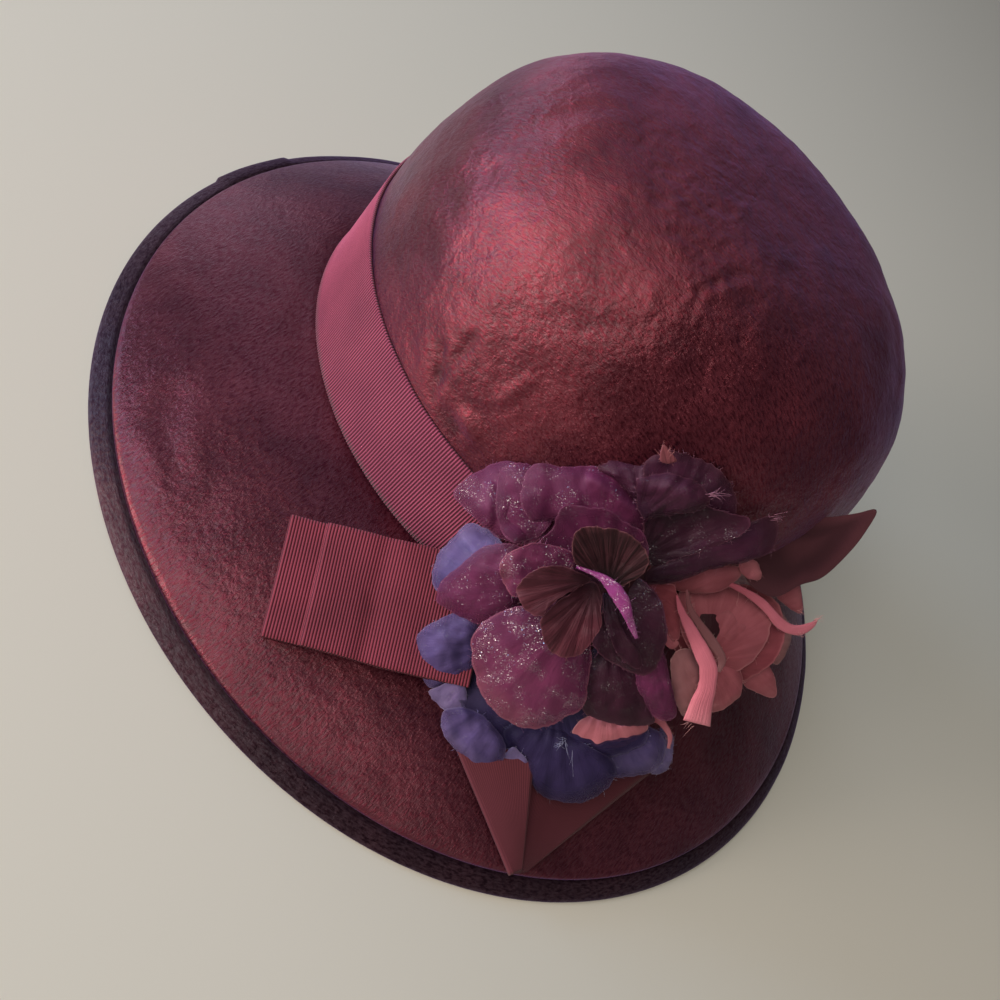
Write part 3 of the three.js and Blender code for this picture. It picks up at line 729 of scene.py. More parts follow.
def band_mesh():
    count = round(BAND_LENGTH / RIB_PITCH)
    turn = np.linspace(0, TAU, count * RIB_SAMPLES + 1)
    share = np.linspace(0, 1, BAND_ROWS)
    height = CROWN_FOOT_HEIGHT + (BAND_TOP - CROWN_FOOT_HEIGHT) * share
    side = CROWN_FOOT_HALF + (CROWN_SHOULDER_HALF - CROWN_FOOT_HALF) * share
    flare = BAND_FLARE * np.clip(1 - share * 5, 0, 1) ** 2
    around = np.stack([np.cos(turn), np.sin(turn)], -1)
    waver = wavering(at_level(around * BAND_EASE_RADIUS, 0), BAND_EASE_SIZE, BAND_EASE_SEED)
    bellied = np.sin(share * math.pi) * BAND_EASE_MIDDLE + BAND_EASE_LEAST
    ease = np.outer(bellied, np.clip(waver, 0, 1))

    def surface(stand, relief):
        half = side[:, None] + flare[:, None] + stand + ease + relief * ribs(turn * count / TAU)[None]
        x = CROWN_CENTRE[0] + half * np.cos(turn)
        y = CROWN_CENTRE[1] + half * CROWN_RATIO * np.sin(turn)
        edge = uneven(at_level(np.stack([x[0], y[0]], -1), height[0]), [BAND_EDGE_WAVE])[None]
        # The upper edge waves, and the rest gives way a little
        z = height[:, None] + edge * np.clip(share * 8 - 7, -0.4, 1)[:, None]
        return np.stack([x, y, z], -1)

    outside = surface(GAP + RIBBON_WALL, 1.0)
    inside = surface(GAP, 0.0)
    uv = np.stack(np.meshgrid(turn * count / TAU, share), -1)
    section = np.concatenate([outside, inside[::-1], outside[:1]])
    return grid(section, np.concatenate([uv, uv[::-1], uv[:1]]))


# Each flat loop's length, level, seed and soft dents, which have a place along it, a width and a depth
LOOP_COLUMNS = ("name", "length", "level", "seed", "dents")
LOOPS = [
    ("long", LONG_LOOP, 0, 31, []),
    ("short", SHORT_LOOP, SHORT_LIFT, 32, [(33, 3.5, 0.9), (16, 5, 0.4)]),
]


def loop_mesh(loop):
    """A flat loop: lower ply, round fold and upper ply, as one strip of ribbon."""
    length, level = loop["length"], loop["level"]
    fold_radius = (RIBBON_WALL + LOOP_SLOT) / 2
    straight = length - fold_radius - RIBBON_WALL / 2
    total = 2 * straight + math.pi * fold_radius
    count = round(total / RIB_PITCH)
    along = np.linspace(0, total, count * RIB_SAMPLES + 1)
    angle = np.clip((along - straight) / fold_radius, 0, math.pi)
    reach = np.where(along < straight, along, np.where(along > total - straight, total - along, straight))
    x = reach + fold_radius * np.sin(angle)
    lift = -fold_radius * np.cos(angle)
    share = np.linspace(-0.5, 0.5, LOOP_POINTS_ACROSS)
    place = np.stack(np.meshgrid(x, share * RIBBON_WIDTH, indexing="ij"), -1)
    upper = np.clip((along - total / 2) / 4, 0, 1)[:, None]
    bulge = LOOP_BULGE * np.sin(np.clip(x / length, 0, 1) * math.pi)[:, None] * upper
    bulge = bulge + uneven(at_level(place, level), [(*LOOP_UNEVEN, loop["seed"])]) * upper
    for dent_at, dent_width, dent_depth in loop["dents"]:
        bulge = bulge - dent_depth * np.exp(-(((x - dent_at) / dent_width) ** 2))[:, None] * upper
    relief = (ribs(along / RIB_PITCH) * np.sign(lift + 1e-6))[:, None]
    height = level + lift[:, None] + bulge + relief * (np.abs(np.cos(angle)) > 0.2)[:, None]
    plane = LOOP_START + place[..., :1] * LOOP_ALONG + place[..., 1:] * LOOP_ACROSS
    points = plane + height[..., None] * LOOP_UP
    under = brim_height(plane[..., :2]) + LOOP_CLEARANCE - plane[..., 2]
    points[..., 2] += np.where(under > 0, under, 0)
    uv = np.stack(np.meshgrid(along / RIB_PITCH, share + 0.5, indexing="ij"), -1)
    return sheet(points, uv, LOOP_WALL), flat_size(points)


def point_mesh():
    """The loop folded to a point: an upper ply and a lower ply that share a folded edge."""
    half = (RIBBON_WALL + POINT_PLY_GAP) / 2
    share = np.linspace(0, 1, POINT_ROWS)[:, None]
    fold, upper, lower = (
        np.array(line[0], float) + (np.array(line[1], float) - np.array(line[0], float)) * share
        for line in (POINT_FOLD, POINT_UPPER, POINT_LOWER)
    )
    outward = unit(fold - upper)
    up = np.array([0, 0, 1.0])
    plies = np.linspace(0, 1, POINT_PLY_COLUMNS)[:, None, None]
    upper_ply = upper[None] + (fold + up * half - upper)[None] * plies
    angle = np.linspace(0, math.pi, POINT_FOLD_COLUMNS)[1:-1, None, None]
    turned = fold[None] + outward[None] * half * np.sin(angle) + up * half * np.cos(angle)
    lower_ply = (fold - up * half)[None] + (lower - fold + up * half)[None] * plies
    points = np.concatenate([upper_ply, turned, lower_ply]).transpose(1, 0, 2)
    swell = np.concatenate([
        np.sin(plies[:, 0, 0] * math.pi) * POINT_SWELL_UPPER,
        np.zeros(len(turned)),
        np.sin(plies[:, 0, 0] * math.pi) * POINT_SWELL_LOWER,
    ])
    points[..., 2] += swell[None] * np.sin(share * math.pi)
    points[..., 2] += uneven(points, [POINT_UNEVEN]) * np.clip(share * 4, 0, 1)
    # Ribs run across the ribbon, which is along the fold's own direction
    width = np.concatenate([[0], np.cumsum(np.linalg.norm(np.diff(points[-1], axis=0), axis=1))])
    uv = np.stack(np.broadcast_arrays(width[None] / RIB_PITCH, share), -1)
    return sheet(points, uv, POINT_WALL), flat_size(points)


# Petals

PETAL_FACING = unit(np.array([0.5, -0.7, 0.5]))
# How far a petal's plane is turned from its own lie towards the viewer, who sees the flowers face on
TOWARDS_VIEWER = 0.5
# How far past its root and tip a petal's bend goes on, as a share of its length
BEND_PAST_ENDS = 0.3
PETAL_RINGS = 22
RING_SPACING = 1.5
OUTLINE_STEPS = 12
PETAL_EDGE_STEP = 0.8
PETAL_TURNS = (44, 130)
STRIP_ROWS = 60
STRIP_COLUMNS = 15
PETAL_WALL = 0.45
PETAL_EDGE_WALL = 0.2
THIN_FROM = 0.85
# Powers of the way to the rim by which the ruffle and the curl grow
RUFFLE_POWER = 4
CURL_POWER = 6
PLEATS_PER_RADIAN = 22
PLEATS_START = 8
# Crumple: its size as a share of the petal's, the least size, the height and the step of its seed
CRUMPLES = [(0.3, 3, 1.0, 3), (0.12, 1.5, 0.3, 5)]
# Shape of each cloth's petals: ruffle at the edge and its waves, ragged outline, curl of the edge away
# from the viewer, pleats from the root and crumple, all in millimetres but the waves
CLOTHS = {
    "heart": dict(ruffle=0.35, waves=7, ragged=0.25, curl=0.1, pleat=0.2, crumple=0.35),
    "cup": dict(ruffle=0.4, waves=7, ragged=0.3, curl=0.0, pleat=0.35, crumple=0.3),
    "glitter": dict(ruffle=0.4, waves=5, ragged=0.25, curl=0.35, pleat=0.1, crumple=0.7),
    "plum": dict(ruffle=0.5, waves=5, ragged=0.25, curl=0.45, pleat=0.12, crumple=0.65),
    "salmon": dict(ruffle=0.4, waves=5, ragged=0.2, curl=0.3, pleat=0.12, crumple=0.4),
    "coral": dict(ruffle=0.1, waves=3, ragged=0.2, curl=0.1, pleat=0.05, crumple=0.1),
    "dusk": dict(ruffle=0.5, waves=5, ragged=0.35, curl=0.3, pleat=0.15, crumple=0.6),
    "pink": dict(ruffle=0.35, waves=5, ragged=0.2, curl=0.2, pleat=0.1, crumple=0.4),
    "grey": dict(ruffle=0.3, waves=4, ragged=0.15, curl=0.2, pleat=0.1, crumple=0.3),
    "blue": dict(ruffle=0.6, waves=5, ragged=0.25, curl=0.8, pleat=0.12, crumple=0.8),
    "indigo": dict(ruffle=0.5, waves=6, ragged=0.25, curl=0.5, pleat=0.12, crumple=0.7),
    "lilac": dict(ruffle=0.4, waves=4, ragged=0.3, curl=0.2, pleat=0.12, crumple=0.4),
    "ribbon": dict(ruffle=0.0, waves=1, ragged=0.0, curl=0.0, pleat=0.0, crumple=0.3),
}
# Where each petal lies in space: its root, middle and tip, how far it stands ahead of that, and how far
# its rim is raised towards the viewer
PETAL_COLUMNS = ("name", "cloth", "root", "middle", "tip", "ahead", "cup")
PETALS = [
    ("heart_curl", "glitter", (29, -86, 93), (41, -85, 94), (56, -80, 84), 2.5, 0),
    ("heart_lower", "heart", (38, -83, 87), (41, -92, 82), (47, -94, 71), 1.0, 1.5),
    ("heart_left", "heart", (36, -82, 87), (31, -93, 88), (26, -100, 83), 1.5, 1.0),
    ("heart_right", "plum", (41, -78, 85), (51, -81, 82), (61, -80, 75), 0, 0.5),
    ("heart_glitter", "glitter", (36, -82, 84), (23, -95, 89), (17, -101, 90), 0, 0.5),
    ("heart_inner", "cup", (41, -77, 85), (33.5, -82, 97), (27.5, -84, 105), 0, 3.0),
    ("heart_upper", "heart", (43.5, -71.5, 79.5), (29.5, -79, 95), (19.5, -84, 104), 0, 1.0),
    ("plum_front", "plum", (42, -78, 78), (47, -94, 61), (58, -97, 42), 0, -3),
    ("pink_curl", "pink", (56, -60, 87), (76, -59.5, 79), (97, -56, 57.5), 1.5, 0),
    ("pink_front", "pink", (50, -63, 86), (74, -61, 75), (96, -57, 55), -0.5, -1.5),
    ("plum_right", "plum", (48, -69, 86), (65, -71, 74), (89, -64, 52), 0, -1.0),
    ("pink_strip", "grey", (46, -67, 86), (58, -64, 80), (70, -60, 73), 0, 0),
    ("plum_lower", "plum", (51, -72, 71), (66, -80, 61), (76, -79, 47), 0, -1.5),
    ("salmon_lower", "salmon", (67.5, -74.5, 54), (75.5, -76.5, 47), (83.5, -74.5, 39), 0, -1.5),
    ("salmon_curl", "salmon", (84, -65, 48), (89, -62, 48), (98, -60, 41), 0, 0),
    ("plum_left", "plum", (38, -76, 71), (22, -88, 60), (14, -90, 47), 0, -2.5),
    ("plum_upper", "plum", (36, -72, 79), (23, -72, 94), (12, -72, 102), 0, -2),
    ("plum_upper_left", "plum", (29, -79, 72), (9, -78, 76), (-5, -76, 77), 0, -2),
    ("dusk_right", "dusk", (45, -65, 86), (52, -54, 99), (61, -39, 111), 1.0, -1.5),
    ("dusk_middle", "dusk", (42, -63, 88), (46, -57, 100), (49, -51, 111), -1.0, 2),
    ("dusk_ridge", "dusk", (33, -65, 98), (34, -63, 111), (40, -59, 116), 1.0, -2),
    ("dusk_upper", "dusk", (41, -57, 94), (35, -57, 111), (32, -55, 122), -1.0, -1),
    ("dusk_left", "dusk", (33.5, -61, 95), (26, -62.5, 104), (20, -61.5, 108), 0, -1.5),
    ("coral_tip", "coral", (29, -61, 113), (25, -63, 118), (21, -66, 122), 0, 0),
    ("pink_upper", "pink", (62, -51, 81), (78, -35, 84), (99, -14, 79), 1.5, 0),
    ("pink_middle", "pink", (82, -47, 64), (78, -45, 74), (75, -39, 81), 0, -1),
    ("pink_point", "pink", (78, -44, 71), (91, -36, 69), (111, -24, 58), 0, -1),
    ("pink_lower", "pink", (76, -48, 70), (88, -46, 65), (102, -40, 53), 0, -1),
    ("pink_top", "pink", (57, -57, 79), (62, -49, 84), (68, -39, 88), 0, -1),
    ("pink_grey", "grey", (79, -38, 71), (93, -21, 68), (103, -11, 64), 0, 0),
    ("pink_far", "pink", (78, -37, 71), (86, -21, 77), (86, -12, 83), 0, 0),
    ("blue_fold", "lilac", (53, -90, 39), (61, -95, 32), (70, -96, 19), 1.0, 0),
    ("blue_lower_left", "blue", (50, -87, 45), (50.5, -100.5, 37.5), (53, -107.5, 24), 0, -2),
    ("blue_left", "blue", (36, -88, 47), (28, -96, 40), (23, -100, 30), 0, -3),
    ("blue_upper", "blue", (33, -79, 51), (16, -85, 51), (8, -81, 45), 0, 1.5),
    ("blue_right", "blue", (71, -71, 45), (85, -72, 40), (99, -66, 31), 0, -2),
    ("blue_end", "lilac", (88, -61, 37), (97, -61, 36), (106, -58, 30), 0, 0),
    ("blue_bottom", "indigo", (61, -82, 43), (75, -88, 35), (87, -89, 23), 0, -1),
    ("ribbon_tail", "ribbon", (68, -38, 90), (77, -20, 102), (78.5, -8, 119.5), 0, 0),
]
PETALS = named(PETAL_COLUMNS, PETALS)
# Loose folds of cloth between the petals, each lying as the petal named after it does
FOLD_COLUMNS = ("name", "cloth", "beside", "ahead", "cup")
# Folds that wear a darker copy fill gaps deep in the flowers with painted shade
LOOSE_FOLDS = [
    ("pink_back", "pink", "pink_middle", -5, 2),
    ("pink_left", "pink", "pink_strip", -2.5, 1),
    ("heart_back", "plum", "heart_right", -4, 1),
    ("blue_back", "blue", "blue_bottom", -2, 0),
    ("pink_ruffle", "pink", "pink_top", 0.5, 0),
    ("blue_pleat", "lilac", "blue_left", -1.5, 0),
    ("plum_hollow", "plum", "plum_upper_left", 2.2, -1.5),
    ("pink_rim", "pink", "pink_strip", -1.0, 0),
    ("pink_inner", "pink", "pink_lower", -1.5, 1),
    ("pink_fill", "pink", "pink_middle", -0.6, 0),
]
# Petal outlines on the sketch, clockwise from the left
OUTLINES = {
    "heart_lower": [(-17.5, -3), (-17.5, 0.5), (-12.5, 5.5), (-8, 8.5), (-2.5, 11.5), (0, 8.5), (0.5, 3),
                    (0, -2.5), (-2.5, -7), (-6.5, -10.5), (-11, -11), (-15.5, -8.5)],
    "heart_left": [(-25, 9), (-23.5, 11.5), (-21, 14), (-16, 16), (-11.5, 16), (-5.5, 14), (-2.5, 12),
                   (-8, 9), (-12.5, 6.5), (-15.5, 3.5), (-17.5, 1), (-21, 2), (-23.5, 5)],
    "heart_right": [(1, 3), (1, 9), (3.5, 6), (6, 0), (9, -6), (12, -10.5), (12, -14.5), (8.5, -13.5),
                    (5, -9.5), (2.5, -3.5)],
    "heart_glitter": [(-30.5, 16), (-28.5, 19), (-25.5, 21), (-20.5, 23), (-15, 22.5), (-8.5, 20.5),
                      (-6.5, 15), (-14, 12), (-20, 9), (-25.5, 7), (-28.5, 10)],
    "heart_inner": [(-8.5, 20.5), (-8, 24), (-6, 27), (-2, 28), (6.5, 26.5), (11, 24), (14, 20.5),
                    (14.5, 17), (12, 13), (8, 11), (3.5, 11), (-2.5, 14), (-6.5, 16)],
    "heart_upper": [(-21, 19.5), (-18, 24), (-14.5, 27), (-12.5, 32), (-9.5, 34.5), (-4.5, 34), (2.5, 33),
                    (7.5, 29.5), (13, 26), (14.5, 19.5), (12, 13.5), (3, 10.5), (-7.5, 12), (-16.5, 15)],
    "plum_front": [(-38.5, -9.5), (-38.5, -5.5), (-36, -1.5), (-30, 2.5), (-21, 4.5), (-12, 4.5),
                   (-4.5, -3), (-2.5, -10.5), (-3.5, -18), (-5, -26), (-10, -29), (-15.5, -31.5),
                   (-22, -32.5), (-28, -30), (-33.5, -25.5), (-37, -18.5)],
    "pink_front": [(21.5, -12), (24, -8.5), (27.5, -9), (30, -13.5), (30.5, -21), (30, -26.5), (27, -29.5),
                   (24, -27.5), (22, -21)],
    "plum_right": [(10, -12), (11, -6), (15, -3), (18, -6), (20, -13.5), (21, -18), (23, -26.5),
                   (21.5, -30), (17, -29.5), (13, -24), (10.5, -18)],
    "plum_lower": [(-6.5, -21), (-5, -14.5), (-2.5, -9), (1.5, -6), (7.5, -7.5), (12, -13.5), (13.5, -21),
                   (16, -28.5), (16, -31), (9, -32), (1, -30.5), (-5, -27.5)],
    "salmon_lower": [(-8, -35.5), (-7, -31), (-2, -28.5), (6, -30.5), (13.5, -30), (14, -33), (9, -37),
                     (2.5, -38.5), (-3, -38.5)],
    "plum_left": [(-49, 6), (-48, 10.5), (-44.5, 14.5), (-37, 20.5), (-30.5, 23), (-24, 22), (-21.5, 18),
                  (-23.5, 10.5), (-24.5, 4.5), (-28, 1), (-35.5, -1), (-42, 1), (-46.5, 3.5)],
    "plum_upper": [(-24, 38), (-20, 46.5), (-11, 46), (-2, 46), (6.5, 42.5), (11, 37), (14, 32), (14.5, 28),
                   (12, 26.5), (6.5, 28), (-5, 30), (-12, 30), (-21, 30)],
    "plum_upper_left": [(-44, 38), (-38, 44), (-27, 48), (-17, 46.5), (-10, 40), (-12, 32), (-16, 25.5),
                        (-24, 22.5), (-33, 26.5), (-40, 33)],
    "dusk_right": [(11.5, 11), (16.5, 17), (26, 22.5), (31, 25.5), (37.5, 27.5), (45, 29.5), (51.5, 31),
                   (53.5, 26.5), (51.5, 21), (46.5, 18.5), (42, 17), (34, 15.5), (22.5, 11.5), (15, 10.5)],
    "dusk_middle": [(13, 22.5), (13.5, 30), (19.5, 32), (27, 33), (32, 34), (39, 32), (45, 30), (42, 25.5),
                    (34.5, 22.5), (27, 19.5), (20.5, 17.5), (15, 16)],
    "dusk_ridge": [(11, 36), (12, 42.5), (20.5, 44), (26, 42.5), (31, 39.5), (33.5, 36), (31, 33.5),
                   (26, 32), (18, 31), (13, 30.5)],
    "dusk_upper": [(15, 37.5), (13.5, 46.5), (18.5, 50.5), (23.5, 50.5), (31, 48), (36.5, 44.5), (40, 39),
                   (41, 32.5), (37.5, 30.5), (30, 31.5), (21, 33)],
    "dusk_left": [(-1, 45.5), (1.5, 47), (4.5, 48.5), (9.5, 47.5), (14.5, 47.5), (18.5, 46.5), (20.5, 42),
                  (18.5, 34.5), (13.5, 32), (9, 37.5), (4.5, 42)],
    "coral_tip": [(18, 48), (19, 52.5), (21, 50.5), (23, 48), (20.5, 47)],
    "pink_middle": [(30.5, 1), (33.5, 2.5), (38.5, 3.5), (42.5, 1), (44.5, -2.5), (42.5, -6.5), (39, -8.5),
                    (35, -6), (32, -2.5)],
    "pink_point": [(41.5, -14.5), (41, -9.5), (44.5, -4), (48, -8.5), (50.5, -13), (52.5, -18),
                   (53, -22.5), (50.5, -23), (46.5, -21.5), (43, -19)],
    "pink_lower": [(33, -21), (35, -15.5), (37, -12), (41.5, -14.5), (43, -19), (41.5, -23), (38.5, -26),
                   (33.5, -27.5)],
    "pink_top": [(13, 11), (21, 12.5), (30, 15.5), (41, 16), (42, 13), (36.5, 9), (30, 8), (19.5, 9.5)],
    "pink_grey": [(50.5, -9), (51, -1.5), (53.5, 2.5), (56, 0), (57.5, -4.5), (56, -9.5), (53, -13.5)],
    "pink_far": [(53, 7), (56.5, 9.5), (59.5, 10.5), (60.5, 6), (60.5, 2), (57, 3.5)],
    "blue_fold": [(-32, -45.5), (-29, -41), (-26.5, -38), (-24, -39.5), (-22, -42.5), (-20.5, -47),
                  (-24, -44.5), (-27.5, -44)],
    "blue_lower_left": [(-47.5, -28.5), (-45, -26.5), (-39.5, -26.5), (-33, -30.5), (-28.5, -37.5),
                        (-30, -43.5), (-32.5, -46), (-38, -45), (-43.5, -39), (-47, -33.5)],
    "blue_left": [(-56, -10.5), (-55, -5.5), (-52.5, -2), (-49, 0), (-42, 2.5), (-36.5, 0), (-36, -7.5),
                  (-38.5, -14.5), (-42, -18), (-50.5, -20.5), (-53.5, -17)],
    "blue_upper": [(-50.5, 13.5), (-49, 18.5), (-47.5, 21.5), (-43.5, 25.5), (-39.5, 29), (-34, 27.5),
                   (-30, 24), (-28.5, 19.5), (-36, 13.5), (-43.5, 9), (-49, 8.5)],
    "blue_right": [(-10.5, -37.5), (-4.5, -35.5), (3, -36.5), (12, -31.5), (18.5, -34.5), (19.5, -40),
                   (16, -45.5), (9, -47), (2.5, -47), (-4.5, -44.5), (-9, -41)],
    "blue_end": [(17, -40), (18, -32.5), (21.5, -34), (22, -37.5), (20.5, -44.5), (15.5, -46)],
    "blue_bottom": [(-28.5, -32.5), (-21, -30.5), (-12, -33), (-3, -38), (4.5, -43), (3.5, -49), (0, -52),
                    (-5, -54.5), (-11, -54.5), (-17.5, -52.5), (-21, -48), (-24, -42), (-27.5, -37.5)],
    "ribbon_tail": [(42, 24), (50, 29), (60, 30.5), (70, 31), (77, 32), (83, 33), (80, 27), (75, 20.5),
                    (67, 13), (60, 10.5), (52, 7), (44, 12)],
    "pink_back": [(19.5, 6), (30, 9.5), (43.5, 10.5), (52.5, 6), (55.5, -3), (52.5, -12), (43.5, -18),
                  (34.5, -21), (27, -15), (21, -6)],
    "heart_back": [(-5, 14), (6, 15), (15, 10), (19, 4), (20, -6), (15, -16), (6, -14), (-2, -8), (-5, 4)],
    "blue_back": [(-43.5, -12), (-39, -6), (-12, -6), (10, -22), (14, -36), (0, -42), (-12, -43),
                  (-24, -45), (-33, -36), (-41.5, -27)],
    "pink_left": [(21.5, 11), (23, 7.5), (24, 1.5), (23.5, -6), (20.5, -4.5), (17.5, 1.5), (15.5, 6),
                  (13.5, 10.5)],
    "pink_ruffle": [(41.5, 17), (44.5, 18.5), (47, 17.5), (48.5, 14), (47.5, 12), (44.5, 12.5), (42.5, 14)],
    "blue_pleat": [(-51.5, -21.5), (-46.5, -19), (-42, -18), (-40, -22.5), (-42, -28), (-46.5, -27),
                   (-49, -25)],
    "plum_hollow": [(-31, 39), (-29.5, 45), (-24, 47), (-16.5, 46.5), (-10.5, 42), (-11.5, 36),
                    (-14.5, 30.5), (-16.5, 26.5), (-21, 24), (-26.5, 23.5), (-30, 27.5), (-31, 33.5)],
    "pink_inner": [(34, -8), (37, -6), (41, -8), (42, -12), (40, -14), (36, -12.5)],
    "pink_fill": [(23, 7), (28, 10), (38, 10), (46, 8), (51, 2), (50, -6), (44, -14), (36, -16),
                  (28, -10), (24, -2)],
}
# Narrow curled strips: places along each on the sketch, with its half width there
CURLS = {
    "heart_curl": [(-7, 16, 0.3), (-2, 14, 0.6), (1, 12.5, 1.2), (4.5, 9, 2.1), (7, 5, 2.1), (8.5, 1, 1.3),
                   (10, -3, 0.8), (11, -5.5, 0.3)],
    "pink_curl": [(23, 7.5, 0.3), (24.5, 2.5, 1.0), (27.5, -3.5, 1.7), (30.5, -9.5, 2.4), (32.5, -14.5, 2.6),
                  (32, -20.5, 2.7), (30.5, -25, 3.3), (29, -31, 4.2)],
    "pink_strip": [(26, 9, 0.3), (27, 3.5, 0.8), (30, -1.5, 1.2), (33.5, -6.5, 1.5), (36.5, -11.5, 1.2),
                   (35.5, -15.5, 0.6)],
    "pink_rim": [(13.5, 10.5, 0.3), (15.5, 5.5, 0.5), (17.5, 0, 0.6), (19.5, -4.5, 0.9), (21.5, -7.5, 1.1),
                 (23.5, -6.5, 0.6)],
    "pink_upper": [(38.5, 11, 0.6), (43.5, 8.5, 1.0), (48, 5.5, 1.3), (51, 2.5, 1.3), (53.5, -0.5, 1.5),
                   (56.5, -2.5, 1.5), (60, -3, 1.5), (63.5, -1.5, 0.9), (65, 0, 0.3)],
    "salmon_curl": [(13.5, -30.5, 1), (17, -29.5, 1.3), (19.5, -32, 1), (21, -35, 0.7), (20.5, -38.5, 0.4)],
}
CURL_ROUND = 0.3
CURL_LEAST_HALF = 0.15
CURL_WOBBLE_SIZE = 2.5
CURL_CRUMPLE = 0.35
CURL_CRUMPLE_SIZE = 4
# Folds and hollows in the petals: two ends on the sketch, width and height towards the viewer
FOLD_LINE_COLUMNS = ("start", "end", "width", "height")
PETAL_FOLDS = {
    "plum_upper_left": [((-33, 40), (-33.5, 29), 1.6, 1.2)],
    "plum_hollow": [((-23.5, 31), (-22, 29), 5.0, -3.6)],
    "plum_upper": [((-2, 42), (13.5, 31), 2.0, 1.6), ((-14, 44), (-14, 32), 3.0, -1.2)],
    "plum_front": [((-31, -6), (-14, -20), 4.0, 0.8), ((-10, -14), (-16, -28), 3.0, 0.7)],
    "blue_left": [((-50, -19), (-42, -16), 1.0, 0.8), ((-42, -4), (-41, -12), 3.0, -1.5)],
    "blue_lower_left": [((-44, -30), (-31, -44), 2.5, -1.0)],
    "dusk_ridge": [((14, 40), (30, 37), 3.0, 1.2)],
    "dusk_right": [((20, 20), (48, 25), 2.5, 0.8)],
    "blue_right": [((0, -40), (16, -38), 3.0, 1.0)],
}
STEM_COLUMNS = ("name", "foot", "tip", "half_width", "half_height")
STEMS = [
    ("plum_stem", (29, -56, 78), (45, -78, 82), 15, 14),
    ("pink_stem", (62, -34, 72), (78, -49, 70), 10, 9),
    ("blue_stem", (43, -54, 46), (54, -85, 45), 24, 10),
]
STEM_PROFILE = [(0, 1), (0.5, 0.95), (0.8, 0.7), (0.95, 0.35), (1, 0)]
STEM_INSET = 0.9
# Petals that look unlike the rest of their cloth. plum_dark, pink_dark and the ribbon tail's look are darker
# copies: painted shade.
PETAL_LOOKS = {
    "plum_front": "plum_glitter", "heart_glitter": "plum_glitter", "ribbon_tail": "tail",
    "heart_upper": "plum", "plum_lower": "plum_dark", "heart_right": "plum_dark",
    "heart_back": "plum_dark", "pink_curl": "pink_bright", "pink_back": "pink_dark",
    "pink_left": "pink_dark", "dusk_middle": "plum_dark", "blue_back": "indigo",
    "pink_upper": "pink_bright", "pink_front": "grey",
}


def in_space(petal, flat, lift):
    """Places on the sketch, as points on the petal's own lie, raised towards the viewer."""
    root, middle, tip = (np.array(petal[key], float) for key in ("root", "middle", "tip"))
    eye, side, up, back = camera_frame()
    length = np.linalg.norm(tip - root)
    along = (tip - root) / length
    across = unit(np.cross(along, PETAL_FACING))
    facing = unit(np.cross(across, along) + TOWARDS_VIEWER * back)
    sight = unit(
        -back * SKETCH_DISTANCE
        + side * (SKETCH_HEART[0] + flat[..., :1])
        + up * (SKETCH_HEART[1] + flat[..., 1:])
    )
    reach = ((root + middle + tip) / 3 - eye) @ facing / (sight @ facing)
    plane = eye + sight * reach[..., None]
    share = np.clip((plane - root) @ along / length, -BEND_PAST_ENDS, 1 + BEND_PAST_ENDS)
    bend = 4 * share * (1 - share) * ((middle - (root + tip) / 2) @ facing)
    return plane - sight * (bend + lift + petal["ahead"])[..., None]


def smooth_open(table, count):
    """An open smooth line with the given number of points through a table of points."""
    knots = np.array(table, float)
    knots = np.concatenate([knots[:1] * 2 - knots[1:2], knots, knots[-1:] * 2 - knots[-2:-1]])
    place = np.linspace(0, len(table) - 1, count)
    i = np.minimum(place.astype(int), len(table) - 2)
    return between(knots[i], knots[i + 1], knots[i + 2], knots[i + 3], (place - i)[:, None])


def folded(name, flat):
    """How far a petal's own folds lift each place of its sketch."""
    lift = np.zeros(flat.shape[:-1])
    for fold in named(FOLD_LINE_COLUMNS, PETAL_FOLDS.get(name, [])):
        distance = segment_distance(flat, fold["start"], fold["end"]) / fold["width"]
        lift += fold["height"] * np.exp(-(distance**2))
    return lift


def closed_sheet(middle, share_uv, vein_uv):
    """A thin closed sheet round a table of points whose first row is its middle and last is its rim."""
    normals = closed_normals(middle)
    normals[0] = unit(normals[1].mean(0))
    near_rim = np.clip((share_uv[..., :1] - THIN_FROM) / (1 - THIN_FROM), 0, 1)
    half = (PETAL_WALL + (PETAL_EDGE_WALL - PETAL_WALL) * near_rim) / 2
    points = np.concatenate([middle + normals * half, (middle - normals * half)[::-1]])
    uv = np.concatenate([share_uv, vein_uv], -1)
    return grid(points, np.concatenate([uv, uv[::-1]]))


def vein_places(petal, flat):
    """Bearing round the petal's root and distance from it, and the share of the petal's length."""
    root, tip = on_sketch(petal["root"]), on_sketch(petal["tip"])
    offset = flat - root
    distance = np.linalg.norm(offset, axis=-1)
    axis = unit(tip - root)
    bearing = np.arctan2(offset[..., 0] * axis[1] - offset[..., 1] * axis[0], offset @ axis)
    return bearing, distance, distance / max(distance.max(), 1e-6)


def even_outline(table):
    """A smooth closed line through a table of places, in even steps."""
    outline = smooth_closed(table, OUTLINE_STEPS)
    steps = np.concatenate([[0], np.cumsum(np.linalg.norm(np.diff(outline, axis=0), axis=1))])
    turns = int(np.clip(steps[-1] / PETAL_EDGE_STEP, *PETAL_TURNS))
    even = np.linspace(0, steps[-1], turns + 1)
    return np.stack([np.interp(even, steps, outline[:, k]) for k in (0, 1)], -1)


